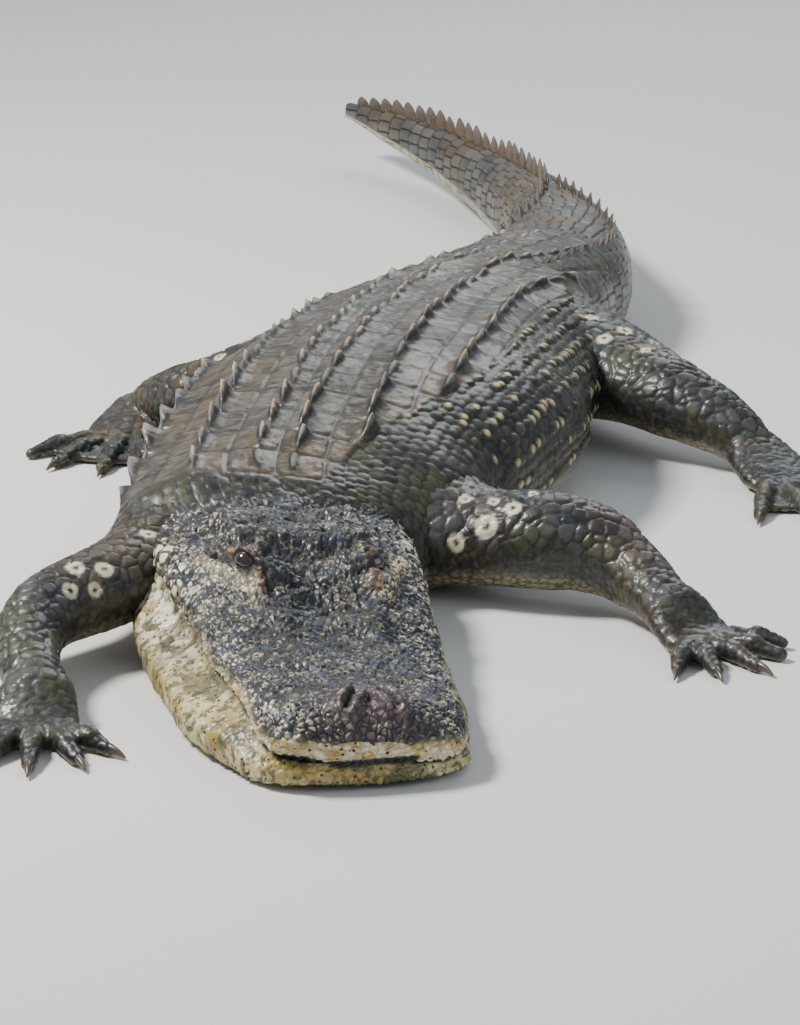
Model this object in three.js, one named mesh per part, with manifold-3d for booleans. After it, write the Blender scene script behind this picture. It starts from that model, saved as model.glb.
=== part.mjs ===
// American alligator, whole animal at rest, life size.
// Millimetres, +Z up. The snout points along -Y, the tail runs back along +Y.
import * as THREE from 'three';
import { ConvexGeometry } from 'three/addons/geometries/ConvexGeometry.js';
import { mergeVertices } from 'three/addons/utils/BufferGeometryUtils.js';
import Module from 'manifold-3d';

const wasm = await Module();
wasm.setup();
const { Manifold, Mesh: SolidMesh } = wasm;

// Driving sizes
const HEAD_LENGTH = 375;      // snout tip to rear edge of the skull table
const HEAD_END = 395;         // plane where head and jaw meet the neck
const TOTAL_LENGTH = 2550;    // along the back, snout tip to tail tip
const GAP = 0.3;              // face to face clearance between nodes
const SNOUT_X = -19;          // sideways place of the snout tip
const NECK_TO = 600;          // distances along the back where the nodes part
const TORSO_TO = 1150;
const TAIL_BASE_TO = 1460;
const TAIL_MIDDLE_TO = 1860;
const TAIL_REAR_TO = 2220;
const SINK = 1.6;             // how far the underside is cut to make the flats
const SCUTE_PITCH = 41;       // distance between cross rows of back plates
const CREST_FROM = 1176;      // first upright scale of the tail
const CREST_PITCH = 33;
const CREST_JOINS = 1835;     // where the double crest becomes a single one
const EYE_R = 11;
const EYE = { x: 0.70 * HEAD_LENGTH, lat: 0.132 * HEAD_LENGTH, z: 92 };
const HEAD_ROLL = 0.08;       // the head leans to its left side, in radians

// Heading of the back in degrees from +Y towards +X, by distance
const HEADING = [
  [0, -12.3], [400, -12.3], [460, 5], [540, 18], [650, 22.5], [740, 19], [850, 13], [1000, 11.5],
  [1150, 16], [1280, 20], [1380, 18], [1500, 9], [1650, 0], [1800, -6], [1950, -12],
  [2100, -17], [2250, -22], [2400, -29], [2550, -35],
];
// Distance, half width, top height, underside height
const BODY = [
  [395, 114, 104, -SINK], [430, 122, 111, -SINK], [500, 135, 124, -SINK], [560, 149, 138, -SINK],
  [620, 161, 150, -SINK], [700, 175, 159, -SINK], [800, 178, 162, -SINK], [900, 166, 158, -SINK],
  [1000, 148, 152, -SINK], [1080, 129, 148, -SINK], [1150, 114, 145, -SINK],
  [1220, 104, 142, -SINK], [1300, 97, 137, -SINK], [1400, 91, 130, -SINK], [1550, 77, 119, -SINK],
  [1700, 63, 108, -SINK], [1850, 51, 99, -SINK], [2000, 40, 91, 3], [2150, 30, 87, 12],
  [2300, 21, 87, 27], [2450, 12, 86, 46], [2550, 3.5, 82, 66],
];
// Sideways place of the ridge of the back: the trunk lies rolled a little to its right
const RIDGE = [
  [400, 8], [508, 3], [568, -5], [608, -11], [680, -26], [744, -36], [848, -44], [900, -47],
  [1012, -50], [1100, -42], [1172, -32], [1264, -24], [1428, -10], [1600, 0],
];
// Back plates beside the ridge: inner edge, keel, outer edge
const COLUMNS = [[0, 16, 45], [45, 74, 100], [100, 125, 146], [146, 165, 182]];
// Fraction of head length, half width fraction, top height, mouth line height
const HEAD = [
  [0, 0.085, 34, 22], [0.004, 0.11, 40, 22], [0.015, 0.15, 47, 22], [0.04, 0.186, 54, 22],
  [0.09, 0.206, 59, 25], [0.16, 0.211, 57, 33], [0.25, 0.217, 57, 36], [0.33, 0.228, 59, 36],
  [0.42, 0.240, 62, 37], [0.55, 0.250, 70, 43], [0.7, 0.262, 85, 50], [0.85, 0.280, 93, 57],
  [1.0, 0.296, 96, 62], [HEAD_END / HEAD_LENGTH, 0.296, 96, 63],
];
// How far the side of the lower jaw stands out, by fraction of head length
const JAW_SWELL = [
  [0.02, 6], [0.07, 11], [0.13, 18], [0.24, 31], [0.33, 34], [0.44, 28], [0.65, 20], [0.75, 15],
  [0.88, 6], [1.05, 4],
];
// Teeth of the upper jaw that show over the lower lip: fraction of head length, radius
const TEETH = [[0.03, 2.6], [0.07, 3], [0.17, 3.6], [0.29, 3], [0.42, 3.2], [0.5, 2.8]];
// Joints of each leg: x, y, z, half width, half height
const LEGS = {
  front_leg_right: [[-95, 520, 54, 50, 40], [-178, 415, 56, 44, 37], [-238, 318, 53, 36, 33],
    [-282, 270, 46, 29, 30], [-289, 206, 34, 24, 24], [-278, 156, 26, 23, 21]],
  front_leg_left: [[-10, 530, 50, 50, 38], [62, 468, 50, 46, 38], [120, 446, 54, 43, 41],
    [162, 434, 50, 36, 37], [194, 402, 37, 27, 28], [216, 358, 27, 23, 21]],
  hind_leg_right: [[20, 1090, 58, 58, 42], [-80, 1015, 60, 52, 40], [-160, 930, 60, 44, 38],
    [-205, 950, 48, 36, 33], [-234, 980, 36, 28, 26], [-248, 996, 26, 25, 22]],
  hind_leg_left: [[140, 1080, 74, 58, 46], [196, 1004, 72, 52, 45], [254, 915, 60, 43, 38],
    [294, 880, 48, 35, 32], [320, 858, 36, 28, 26], [332, 846, 26, 25, 22]],
};
// Feet: heading in degrees from -Y towards +X, palm half width, half height and reach,
// toes as spread and length, share of the toes that the web joins
const FORE_PALM = [34, 12, 50];
const HIND_PALM = [38, 14, 78];
const FEET = {
  front_foot_right: {
    leg: 'front_leg_right', turn: 2, palm: FORE_PALM, side: -1, web: 0.25,
    toes: [[-46, 40], [-22, 54], [0, 60], [24, 54], [48, 42]],
  },
  front_foot_left: {
    leg: 'front_leg_left', turn: 36, palm: FORE_PALM, side: 1, web: 0.25,
    toes: [[-48, 42], [-24, 54], [0, 60], [22, 54], [46, 40]],
  },
  hind_foot_right: {
    leg: 'hind_leg_right', turn: -20, palm: HIND_PALM, side: -1, web: 0.7,
    toes: [[-30, 66], [-10, 80], [11, 84], [32, 76]],
  },
  hind_foot_left: {
    leg: 'hind_leg_left', turn: 22, palm: HIND_PALM, side: 1, web: 0.7,
    toes: [[-32, 76], [-11, 84], [10, 80], [30, 66]],
  },
};
const COLOR = {
  back: 0x55534c, flank: 0x4a4a3c, head: 0x4c5058, jaw: 0xb8ab80, limb: 0x33363b, eye: 0x8a7433,
};

// Numbers along tables, and seeded variation
const RAD = Math.PI / 180;
const clamp = (v, a, b) => Math.min(b, Math.max(a, v));
const step = (a, b, v) => {
  const t = clamp((v - a) / (b - a), 0, 1);
  return t * t * (3 - 2 * t);
};
const along = (table, s, k) => {
  if (s <= table[0][0]) return table[0][k];
  for (let i = 1; i < table.length; i++) {
    if (s <= table[i][0]) {
      const t = (s - table[i - 1][0]) / (table[i][0] - table[i - 1][0]);
      return table[i - 1][k] * (1 - t) + table[i][k] * t;
    }
  }
  return table[table.length - 1][k];
};
const EASE = 25;
const eased = (table, s, k) =>
  (along(table, s - EASE, k) + 2 * along(table, s, k) + along(table, s + EASE, k)) / 4;
let seed = 20517;
const vary = () => {
  seed = (seed * 1664525 + 1013904223) % 4294967296;
  return seed / 4294967296;
};

// Line of the back in plan
const LINE_STEP = 5;
const backLine = () => {
  const line = [];
  let x = SNOUT_X;
  let y = 0;
  for (let s = 0; s <= TOTAL_LENGTH + LINE_STEP; s += LINE_STEP) {
    const h = along(HEADING, s, 1) * RAD;
    line.push([x, y, h]);
    x += Math.sin(h) * LINE_STEP;
    y += Math.cos(h) * LINE_STEP;
  }
  return line;
};
const LINE = backLine();
// Point beside the back: distance, offset towards the left side of the animal, height.
// The head leans, more at its top than at the chin, which stays flat on the floor.
const LEAN_CENTRE = 40;
const place = (s, lat, z) => {
  const i = clamp(Math.floor(s / LINE_STEP), 0, LINE.length - 2);
  const t = (s - i * LINE_STEP) / LINE_STEP;
  const [x, y, h] = [0, 1, 2].map((k) => LINE[i][k] * (1 - t) + LINE[i + 1][k] * t);
  const roll = HEAD_ROLL * (1 - step(330, 440, s)) * step(4, 20, z);
  const side = lat + (z - LEAN_CENTRE) * roll;
  return new THREE.Vector3(x + side * Math.cos(h), y - side * Math.sin(h), z - lat * roll);
};

// Closed lofts through rings of points
const loft = (rings) => {
  const n = rings[0].length;
  const pos = [];
  const idx = [];
  rings.forEach((r) => r.forEach((p) => pos.push(p.x, p.y, p.z)));
  for (let i = 0; i < rings.length - 1; i++) {
    for (let j = 0; j < n; j++) {
      const a = i * n + j;
      const b = i * n + ((j + 1) % n);
      idx.push(a, b, a + n, b, b + n, a + n);
    }
  }
  const cap = (ring, first, flip) => {
    const c = ring.reduce((q, p) => q.add(p), new THREE.Vector3()).multiplyScalar(1 / n);
    const k = pos.length / 3;
    pos.push(c.x, c.y, c.z);
    for (let j = 0; j < n; j++) {
      const a = first + j;
      const b = first + ((j + 1) % n);
      if (flip) idx.push(k, a, b);
      else idx.push(k, b, a);
    }
  };
  cap(rings[0], 0, false);
  cap(rings[rings.length - 1], (rings.length - 1) * n, true);
  const corner = (k) => new THREE.Vector3(pos[idx[k] * 3], pos[idx[k] * 3 + 1], pos[idx[k] * 3 + 2]);
  let volume = 0;
  for (let i = 0; i < idx.length; i += 3) volume += corner(i).dot(corner(i + 1).cross(corner(i + 2)));
  if (volume < 0) {
    for (let i = 0; i < idx.length; i += 3) [idx[i + 1], idx[i + 2]] = [idx[i + 2], idx[i + 1]];
  }
  return new Manifold(new SolidMesh({
    numProp: 3, vertProperties: new Float32Array(pos), triVerts: new Uint32Array(idx),
  }));
};
// Ring of points round a centre, in the plane across a direction
const ringRound = (p, direction, halfWidth, halfHeight, n) => {
  const side = new THREE.Vector3().crossVectors(direction, new THREE.Vector3(0, 0, 1)).normalize();
  const up = new THREE.Vector3().crossVectors(side, direction).normalize();
  const ring = [];
  for (let j = 0; j < n; j++) {
    const th = (j / n) * 2 * Math.PI;
    ring.push(p.clone().addScaledVector(side, halfWidth * Math.cos(th))
      .addScaledVector(up, halfHeight * Math.sin(th)));
  }
  return ring;
};

// Closed three.js geometry as solids
const solid = (geometry) => {
  const g = geometry.clone();
  g.deleteAttribute('normal');
  g.deleteAttribute('uv');
  const m = mergeVertices(g, 1e-4);
  const idx = m.index.array;
  const keep = [];
  for (let i = 0; i < idx.length; i += 3) {
    if (idx[i] !== idx[i + 1] && idx[i + 1] !== idx[i + 2] && idx[i] !== idx[i + 2]) {
      keep.push(idx[i], idx[i + 1], idx[i + 2]);
    }
  }
  return new Manifold(new SolidMesh({
    numProp: 3,
    vertProperties: new Float32Array(m.attributes.position.array),
    triVerts: new Uint32Array(keep),
  }));
};
const hull = (points) => solid(new ConvexGeometry(points));
const block = (c, sx, sy, sz) => solid(new THREE.BoxGeometry(sx, sy, sz).translate(c.x, c.y, c.z));
const ballGeometry = (r, n) => new THREE.SphereGeometry(r, n, Math.max(4, Math.round(n / 2)));
const ball = (p, r, n = 8) => solid(ballGeometry(r, n).translate(p.x, p.y, p.z));
const capsule = (p, q, r1, r2, n = 5) => {
  const points = [];
  for (const [at, r] of [[p, r1], [q, r2]]) {
    const a = ballGeometry(r, n).attributes.position;
    for (let i = 0; i < a.count; i++) points.push(new THREE.Vector3().fromBufferAttribute(a, i).add(at));
  }
  return hull(points);
};
const largest = (m) => m.decompose().reduce((a, b) => (b.volume() > a.volume() ? b : a));
const belowFloor = block(new THREE.Vector3(0, 1200, -100), 3000, 5000, 200);
const onFloor = (m) => m.subtract(belowFloor);

// The model, one named mesh for each solid
const group = new THREE.Group();
group.name = 'american_alligator';
const add = (name, m, color, roughness) => {
  const g = largest(m).getMesh();
  const stride = g.numProp;
  const v = new Float32Array((g.vertProperties.length / stride) * 3);
  for (let i = 0; i < v.length / 3; i++) {
    for (let k = 0; k < 3; k++) v[i * 3 + k] = g.vertProperties[i * stride + k];
  }
  const geo = new THREE.BufferGeometry();
  geo.setAttribute('position', new THREE.BufferAttribute(v, 3));
  geo.setIndex(new THREE.BufferAttribute(new Uint32Array(g.triVerts), 1));
  geo.computeVertexNormals();
  const mesh = new THREE.Mesh(geo, new THREE.MeshStandardMaterial({ color, roughness, metalness: 0 }));
  mesh.name = name;
  group.add(mesh);
};

// Section of neck, trunk and tail: rounder above its widest level than below it
const WIDEST = 0.46;
const ROUND_TOP = 2.3;
const ROUND_LOW = 3.0;
const bodySize = (s) => [1, 2, 3].map((k) => eased(BODY, s, k));
const bodyPoint = (s, th, grow = 0) => {
  const [w, t, b] = bodySize(s);
  const c = Math.cos(th);
  const d = Math.sin(th);
  const n = d > 0 ? ROUND_TOP : ROUND_LOW;
  const zc = b + (t - b) * WIDEST;
  const lat = (w + grow) * Math.sign(c) * Math.pow(Math.abs(c), 2 / n);
  const h = d > 0 ? t - zc + grow : zc - b + grow;
  return place(s, lat, zc + h * Math.sign(d) * Math.pow(Math.abs(d), 2 / n));
};
const bodyRing = (s, n, grow = 0) => {
  const ring = [];
  for (let j = 0; j < n; j++) ring.push(bodyPoint(s, ((j + 0.5) / n) * 2 * Math.PI, grow));
  return ring;
};
// Each stretch of the body leaves a slightly grown copy, which the legs are cut with
const CLEAR = 0.48;
const CUT_OVERRUN = 1;
const bodyCutters = [];
const bodyLoft = (s0, s1, pitch, n) => {
  const k = Math.max(2, Math.round((s1 - s0) / pitch));
  const stations = [];
  for (let i = 0; i <= k; i++) stations.push(s0 + ((s1 - s0) * i) / k);
  const longer = [s0 - CUT_OVERRUN, ...stations, s1 + CUT_OVERRUN];
  bodyCutters.push(() => loft(longer.map((s) => bodyRing(s, n, CLEAR))));
  return loft(stations.map((s) => bodyRing(s, n)));
};
// Place and directions on the back, by side fraction u of the half width
const onBack = (s, u) => {
  const [w, t, b] = bodySize(s);
  const zc = b + (t - b) * WIDEST;
  const a = Math.min(0.999, Math.abs(u));
  return place(s, w * u, zc + (t - zc) * Math.pow(1 - Math.pow(a, ROUND_TOP), 1 / ROUND_TOP));
};
const backFrame = (s, u) => {
  const p = onBack(s, u);
  const back = onBack(s + 4, u).sub(onBack(s - 4, u)).normalize();
  const side = onBack(s, u + 0.02).sub(onBack(s, u - 0.02)).normalize();
  const out = new THREE.Vector3().crossVectors(side, back).normalize();
  if (out.z < 0) out.negate();
  return { p, back, side, out };
};
const inFrame = ({ p, back, side }, up, a, b, c) =>
  p.clone().addScaledVector(back, a).addScaledVector(side, b).addScaledVector(up, c);

// Keeled plate: length along the back, width across, keel height, keel's offset from the middle
const PLATE_ROOT = 3;
const PLATE_EDGE = 1;
const keeledPlate = ({ s, u, long, wide, keel, keelAt = 0 }) => {
  const f = backFrame(s, u);
  const l = long / 2;
  const w = wide / 2;
  return hull([
    inFrame(f, f.out, -l, -w, -PLATE_ROOT), inFrame(f, f.out, -l, w, -PLATE_ROOT),
    inFrame(f, f.out, l, w, -PLATE_ROOT), inFrame(f, f.out, l, -w, -PLATE_ROOT),
    inFrame(f, f.out, -l * 0.5, keelAt, keel * 0.5 + PLATE_EDGE), inFrame(f, f.out, l * 0.6, keelAt, keel),
  ]);
};
const plateClearance = (q) => keeledPlate({ ...q, long: q.long + 1, wide: q.wide + 1, keel: q.keel + 1.1 });
// Cross rows of plates over the trunk, beside the ridge of the back
const PLATES_FROM = 621;
const PLATES_REACH = 0.9;
const KEELS = [9, 12, 13, 9];
const trunkPlates = (s0, s1) => {
  const plates = [];
  for (let s = PLATES_FROM; s + SCUTE_PITCH / 2 < s1 - 1; s += SCUTE_PITCH) {
    const [w] = bodySize(s);
    for (const side of [-1, 1]) {
      COLUMNS.forEach(([inner, keelLine, outer], column) => {
        const lat = along(RIDGE, s, 1) + (side * (inner + outer)) / 2;
        if (Math.abs(lat) + (outer - inner) / 2 > w * PLATES_REACH + 12) return;
        plates.push({
          s: s + (vary() - 0.5) * 3,
          u: lat / w,
          long: SCUTE_PITCH - 2,
          wide: outer - inner - 1,
          keel: KEELS[column] + vary() * 3,
          keelAt: side * (keelLine - (inner + outer) / 2),
        });
      });
    }
  }
  return plates.filter((q) => q.s - SCUTE_PITCH / 2 > s0 + 1);
};
// Large plates behind the head: distance, offset from the ridge, length, width, keel
const NECK_PLATES = [
  [438, 20, 20, 26, 6], [440, 52, 18, 22, 6], [488, 30, 40, 50, 15], [534, 26, 40, 44, 14],
  [498, 76, 32, 30, 15], [540, 76, 34, 34, 14], [578, 22, 30, 36, 11], [578, 72, 32, 44, 13],
  [574, 118, 28, 26, 10],
];
const neckPlates = () => {
  const plates = [];
  for (const side of [-1, 1]) {
    for (const [s, off, long, wide, keel] of NECK_PLATES) {
      const u = (along(RIDGE, s, 1) + side * off) / bodySize(s)[0];
      plates.push({ s, u, long, wide, keel });
    }
  }
  return plates;
};
// Upright scale of the tail crest
const FIN_ROOT = 5;
const crestFin = (s, u, long, thick, height) => {
  const f = backFrame(s, u);
  const up = f.out.clone().lerp(new THREE.Vector3(0, 0, 1), 0.5).normalize();
  const l = long / 2;
  const w = thick / 2;
  return hull([
    inFrame(f, up, -l, -w, -FIN_ROOT), inFrame(f, up, -l, w, -FIN_ROOT),
    inFrame(f, up, l, w, -FIN_ROOT), inFrame(f, up, l, -w, -FIN_ROOT),
    inFrame(f, up, -l * 0.1, 0, height * 0.85), inFrame(f, up, l * 0.75, 0, height),
  ]);
};
const crestPlaces = () => {
  const places = [];
  for (let i = 0; i < 60; i++) places.push(CREST_FROM + i * CREST_PITCH - Math.max(0, i - 22) * 1.2);
  return places;
};
const tailCrest = (s0, s1) => {
  const fins = [];
  for (const s of crestPlaces().filter((v) => v > s0 + 17 && v < s1 - 17)) {
    const [w] = bodySize(s);
    const ridge = along(RIDGE, s, 1) / w;
    if (s > CREST_JOINS) {
      fins.push(crestFin(s, 0, 31, Math.min(9, w * 0.5), 27 - 10 * step(2250, 2540, s)));
      continue;
    }
    const u = 0.18 + 0.62 * (1 - step(1500, CREST_JOINS, s));
    const height = 11 + 9 * step(CREST_FROM, CREST_JOINS, s);
    for (const side of [-1, 1]) {
      fins.push(crestFin(s, clamp(ridge + side * u, -0.97, 0.97), 31, 10, height));
      if (s < 1420) {
        fins.push(keeledPlate({ s, u: ridge + side * 0.22, long: 26, wide: w * 0.34, keel: 8 }));
      }
    }
  }
  return fins;
};
const addBody = (name, s0, s1, pitch, n, raised, color) => {
  const core = bodyLoft(s0, s1 - GAP, pitch, n);
  add(name, onFloor(largest(Manifold.union([core, ...raised]))), color, 0.55);
};
const plates = { neck: neckPlates(), torso: trunkPlates(NECK_TO, TORSO_TO) };
addBody('neck', HEAD_END + GAP, NECK_TO, 30, 26, plates.neck.map(keeledPlate), COLOR.back);
addBody('torso', NECK_TO, TORSO_TO, 38, 28, plates.torso.map(keeledPlate), COLOR.back);
const TAIL = [
  ['tail_base', TORSO_TO, TAIL_BASE_TO, 38, 22, COLOR.back],
  ['tail_middle', TAIL_BASE_TO, TAIL_MIDDLE_TO, 44, 18, COLOR.flank],
  ['tail_rear', TAIL_MIDDLE_TO, TAIL_REAR_TO, 40, 16, COLOR.flank],
  ['tail_tip', TAIL_REAR_TO, TOTAL_LENGTH, 36, 14, COLOR.back],
];
for (const [name, s0, s1, pitch, n, color] of TAIL) addBody(name, s0, s1, pitch, n, tailCrest(s0, s1), color);

// Head: plain section, then skull table, eye domes, nostril mounds and hollows over it
const hump = (dx, dy, r) => Math.exp(-(dx * dx + dy * dy) / (r * r));
const TABLE_TOP = 108;
const DOME_TOP = 107;
const headTop = (x, lat, base) => {
  const f = x / HEAD_LENGTH;
  const a = Math.abs(lat);
  const table = step(0.74, 0.82, f) * (1 - step(0.985, 1.02, f));
  const rim = (0.125 + 0.03 * f) * HEAD_LENGTH;
  const edge = 1 - step(rim - 6, rim + 5, a);
  const flat = base + (TABLE_TOP - 4 * (1 - a / 60) - base) * table * edge;
  const dome = base + (DOME_TOP - base) * hump(x - EYE.x, (a - EYE.lat + 8) * 1.35, 26);
  return Math.max(flat, dome)
    + 7 * hump(x - 0.095 * HEAD_LENGTH, a - 0.045 * HEAD_LENGTH, 17)
    + 4 * hump(x - 0.52 * HEAD_LENGTH, a - 0.09 * HEAD_LENGTH, 26)
    - 5 * hump((x - 0.6 * HEAD_LENGTH) * 0.7, a * 1.6, 30);
};
const HEAD_STATIONS = [0.5, 4, 11, 20, 30, 41, 54, 72, 95, 120, 145, 170, 195, 215, 231, 243,
  254, 266, 279, 291, 303, 320, 345, 366, 378, HEAD_END];
const LIP = 4;
const LIP_INSET = 3;
const headSize = (f) => [along(HEAD, f, 1) * HEAD_LENGTH, along(HEAD, f, 2), along(HEAD, f, 3)];
const upperHeadRing = (x) => {
  const [w, t, m] = headSize(x / HEAD_LENGTH);
  const ring = [];
  const spans = 16;
  for (let j = 0; j <= spans; j++) {
    const th = (j / spans) * Math.PI;
    const c = Math.cos(th);
    const lat = w * Math.sign(c) * Math.pow(Math.abs(c), 0.62);
    const base = m + LIP + (t - m - LIP) * Math.pow(Math.sin(th), 0.88);
    ring.push(place(x, lat, headTop(x, lat, base)));
  }
  for (let j = 0; j <= 2; j++) ring.push(place(x, (w - LIP_INSET) * (j - 1), m));
  return ring;
};
const tooth = (f, side, r, tip) => {
  const x = f * HEAD_LENGTH;
  const [w, , m] = headSize(f);
  return capsule(place(x, side * (w - 0.5), m + 5), place(x, side * (w + 0.4), m - 4.5), r, tip);
};
const buildHead = () => {
  let head = loft(HEAD_STATIONS.map(upperHeadRing));
  for (const side of [-1, 1]) {
    const eye = place(EYE.x, side * EYE.lat, EYE.z);
    const lidSlab = block(place(EYE.x - 2, side * (EYE.lat + 4), EYE.z - 1), 90, 90, 8.5);
    const opening = lidSlab.intersect(ball(place(EYE.x - 6, side * (EYE.lat + 24), EYE.z), 22, 20));
    head = head.add(ball(eye, EYE_R + 3.5, 14)).subtract(opening);
    head = head.subtract(ball(eye, EYE_R + GAP + 0.2, 14));
    const nostril = place(0.085 * HEAD_LENGTH, side * 0.048 * HEAD_LENGTH, 68);
    head = head.subtract(solid(new THREE.SphereGeometry(6, 10, 6).scale(0.8, 1.3, 1.0)
      .translate(nostril.x, nostril.y, nostril.z)));
    for (const [f, r] of TEETH) head = head.add(tooth(f, side, r, 0.7));
  }
  return head;
};
add('eye_right', ball(place(EYE.x, -EYE.lat, EYE.z), EYE_R, 14), COLOR.eye, 0.12);
add('eye_left', ball(place(EYE.x, EYE.lat, EYE.z), EYE_R, 14), COLOR.eye, 0.12);
add('head', buildHead(), COLOR.head, 0.4);

// Lower jaw: swells out below the lip, more on the side it leans on
const LEFT_SWELL = 0.4;
const ROUND_FROM = 0.7;
const ROUNDING = 2.2;
const jawRing = (x) => {
  const f = x / HEAD_LENGTH;
  const [w, , m] = headSize(f);
  const top = w - 0.01 * (1 - step(0.1, 0.4, f)) * HEAD_LENGTH;
  const lip = m - GAP;
  const low = -SINK + 7 * (1 - step(0, 0.1, f)) + 4 * step(0.85, 1.05, f);
  const ring = [];
  const spans = 12;
  for (let j = 0; j <= spans; j++) {
    const th = Math.PI + (j / spans) * Math.PI;
    const c = Math.cos(th);
    const k = Math.pow(Math.abs(Math.sin(th)), 0.79);
    const swell = along(JAW_SWELL, f, 1) * (c > 0 ? LEFT_SWELL : 1) * step(0, 0.5, k);
    const turn = Math.pow(clamp((k - ROUND_FROM) / (1 - ROUND_FROM), 0, 1), ROUNDING);
    const lat = (top + swell) * Math.sign(c) * Math.pow(1 - turn, 1 / ROUNDING);
    ring.push(place(x, lat, lip - LIP - (lip - LIP - low) * k));
  }
  for (let j = 0; j <= 2; j++) ring.push(place(x, (w - LIP_INSET) * (1 - j), lip));
  // Turned round, so that its facets match those of the head's underside
  return ring.reverse();
};
const buildJaw = () => {
  const notches = [];
  for (const side of [-1, 1]) for (const [f, r] of TEETH) notches.push(tooth(f, side, r + 0.6, 1.4));
  return onFloor(loft(HEAD_STATIONS.map(jawRing))).subtract(Manifold.union(notches));
};
add('lower_jaw', buildJaw(), COLOR.jaw, 0.45);

// Legs: tubes along a rounded line through their joints, cut clear of the body
const LEG_SIDES = 14;
const legLine = (joints) => {
  const points = joints.map((p) => new THREE.Vector3(p[0], p[1], p[2]));
  const curve = new THREE.CatmullRomCurve3(points, false, 'centripetal');
  const out = [];
  const spans = joints.length - 1;
  for (let i = 0; i <= spans * 3; i++) {
    const t = i / (spans * 3);
    const p = curve.getPoint(t);
    const k = Math.min(spans - 1, Math.floor(t * spans));
    const g = step(0, 1, t * spans - k);
    const [halfWidth, halfHeight] = [3, 4].map((q) => joints[k][q] * (1 - g) + joints[k + 1][q] * g);
    out.push([p.x, p.y, p.z, halfWidth, halfHeight]);
  }
  return out;
};
const legTube = (stations, grow = 0) => loft(stations.map((q, i) => {
  const at = (k) => new THREE.Vector3(...stations[clamp(k, 0, stations.length - 1)].slice(0, 3));
  const direction = at(i + 1).sub(at(i - 1)).normalize();
  return ringRound(at(i), direction, q[3] + grow, q[4] + grow, LEG_SIDES);
}));
// Upright block round head and jaw, a little wider than both
const HEAD_CLEAR = 2.5;
const headSpace = () => loft(HEAD_STATIONS.map((x) => {
  const f = x / HEAD_LENGTH;
  const [w] = headSize(f);
  const right = -w - along(JAW_SWELL, f, 1) - HEAD_CLEAR;
  const left = w + along(JAW_SWELL, f, 1) * LEFT_SWELL + HEAD_CLEAR;
  const corners = [[right, -20], [left, -20], [left, LEAN_CENTRE], [left, 200], [right, 200],
    [right, LEAN_CENTRE]];
  return corners.map(([lat, z]) => place(x, lat, z));
}));
const bodySkin = Manifold.union([
  headSpace(),
  ...bodyCutters.slice(0, 3).map((cut) => cut()),
  ...[...plates.neck, ...plates.torso].map(plateClearance),
]);
for (const [name, joints] of Object.entries(LEGS)) {
  const leg = legTube(legLine(joints)).subtract(bodySkin);
  add(name, onFloor(largest(leg)), COLOR.limb, 0.5);
}

// Feet: palm from the leg's end to the toe roots, toes with a knuckle, webs and inner claws
const TOE = { root: 9.5, knuckle: 8, tip: 6, rootZ: 9, knuckleZ: 9.5, tipZ: 5.5 };
const CLAW = { long: 20, tip: 1.2, root: 5, tipZ: 2.2 };
const WEB = [2.5, 8.5];
const buildFoot = (q) => {
  const stations = legLine(LEGS[q.leg]);
  const end = stations[stations.length - 1];
  const before = stations[stations.length - 2];
  const down = new THREE.Vector3(end[0] - before[0], end[1] - before[1], end[2] - before[2]).normalize();
  const ahead = new THREE.Vector3(Math.sin(q.turn * RAD), -Math.cos(q.turn * RAD), 0);
  const across = new THREE.Vector3(-ahead.y, ahead.x, 0);
  const [halfWidth, halfHeight, reach] = q.palm;
  const wrist = new THREE.Vector3(end[0], end[1], end[2]).addScaledVector(down, GAP);
  const heel = wrist.clone().addScaledVector(down, 9).addScaledVector(ahead, 8);
  heel.z = Math.max(heel.z, 17);
  const palm = new THREE.Vector3(heel.x, heel.y, halfHeight - SINK).addScaledVector(ahead, reach * 0.5);
  const ball0 = palm.clone().addScaledVector(ahead, reach * 0.5);
  ball0.z = 8 - SINK;
  const parts = [loft([
    ringRound(wrist, down, end[3], end[4], LEG_SIDES),
    ringRound(heel, down.clone().add(ahead).normalize(), halfWidth * 0.86, 18, LEG_SIDES),
    ringRound(palm, ahead, halfWidth, halfHeight, LEG_SIDES),
    ringRound(ball0, ahead, halfWidth * 0.86, 8, LEG_SIDES),
  ])];
  const toes = q.toes.map(([spread, long], i) => {
    const toward = ahead.clone().applyAxisAngle(new THREE.Vector3(0, 0, 1), spread * RAD);
    const beside = (i / (q.toes.length - 1) - 0.5) * halfWidth * 1.5;
    const root = ball0.clone().addScaledVector(across, beside).addScaledVector(ahead, -8).setZ(TOE.rootZ);
    const knuckle = root.clone().addScaledVector(toward, long * 0.5).setZ(TOE.knuckleZ);
    const tip = root.clone().addScaledVector(toward, long).setZ(TOE.tipZ);
    parts.push(capsule(root, knuckle, TOE.root, TOE.knuckle), capsule(knuckle, tip, TOE.knuckle, TOE.tip));
    if (q.side < 0 ? i >= q.toes.length - 3 : i < 3) {
      const point = tip.clone().addScaledVector(toward, CLAW.long).setZ(CLAW.tipZ);
      parts.push(capsule(tip, point, CLAW.root, CLAW.tip));
    }
    return { root, tip };
  });
  for (let i = 0; i < toes.length - 1; i++) {
    const [a, b] = [toes[i], toes[i + 1]];
    const corners = [a.root, b.root, a.root.clone().lerp(a.tip, q.web), b.root.clone().lerp(b.tip, q.web)];
    parts.push(hull(corners.flatMap((p) => WEB.map((z) => p.clone().setZ(z)))));
  }
  const behindWrist = new THREE.BoxGeometry(200, 200, 200).translate(0, 0, -100);
  behindWrist.applyQuaternion(new THREE.Quaternion().setFromUnitVectors(new THREE.Vector3(0, 0, 1), down));
  behindWrist.translate(wrist.x, wrist.y, wrist.z);
  return Manifold.union(parts).subtract(solid(behindWrist)).subtract(legTube(stations, 0.5));
};
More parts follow.
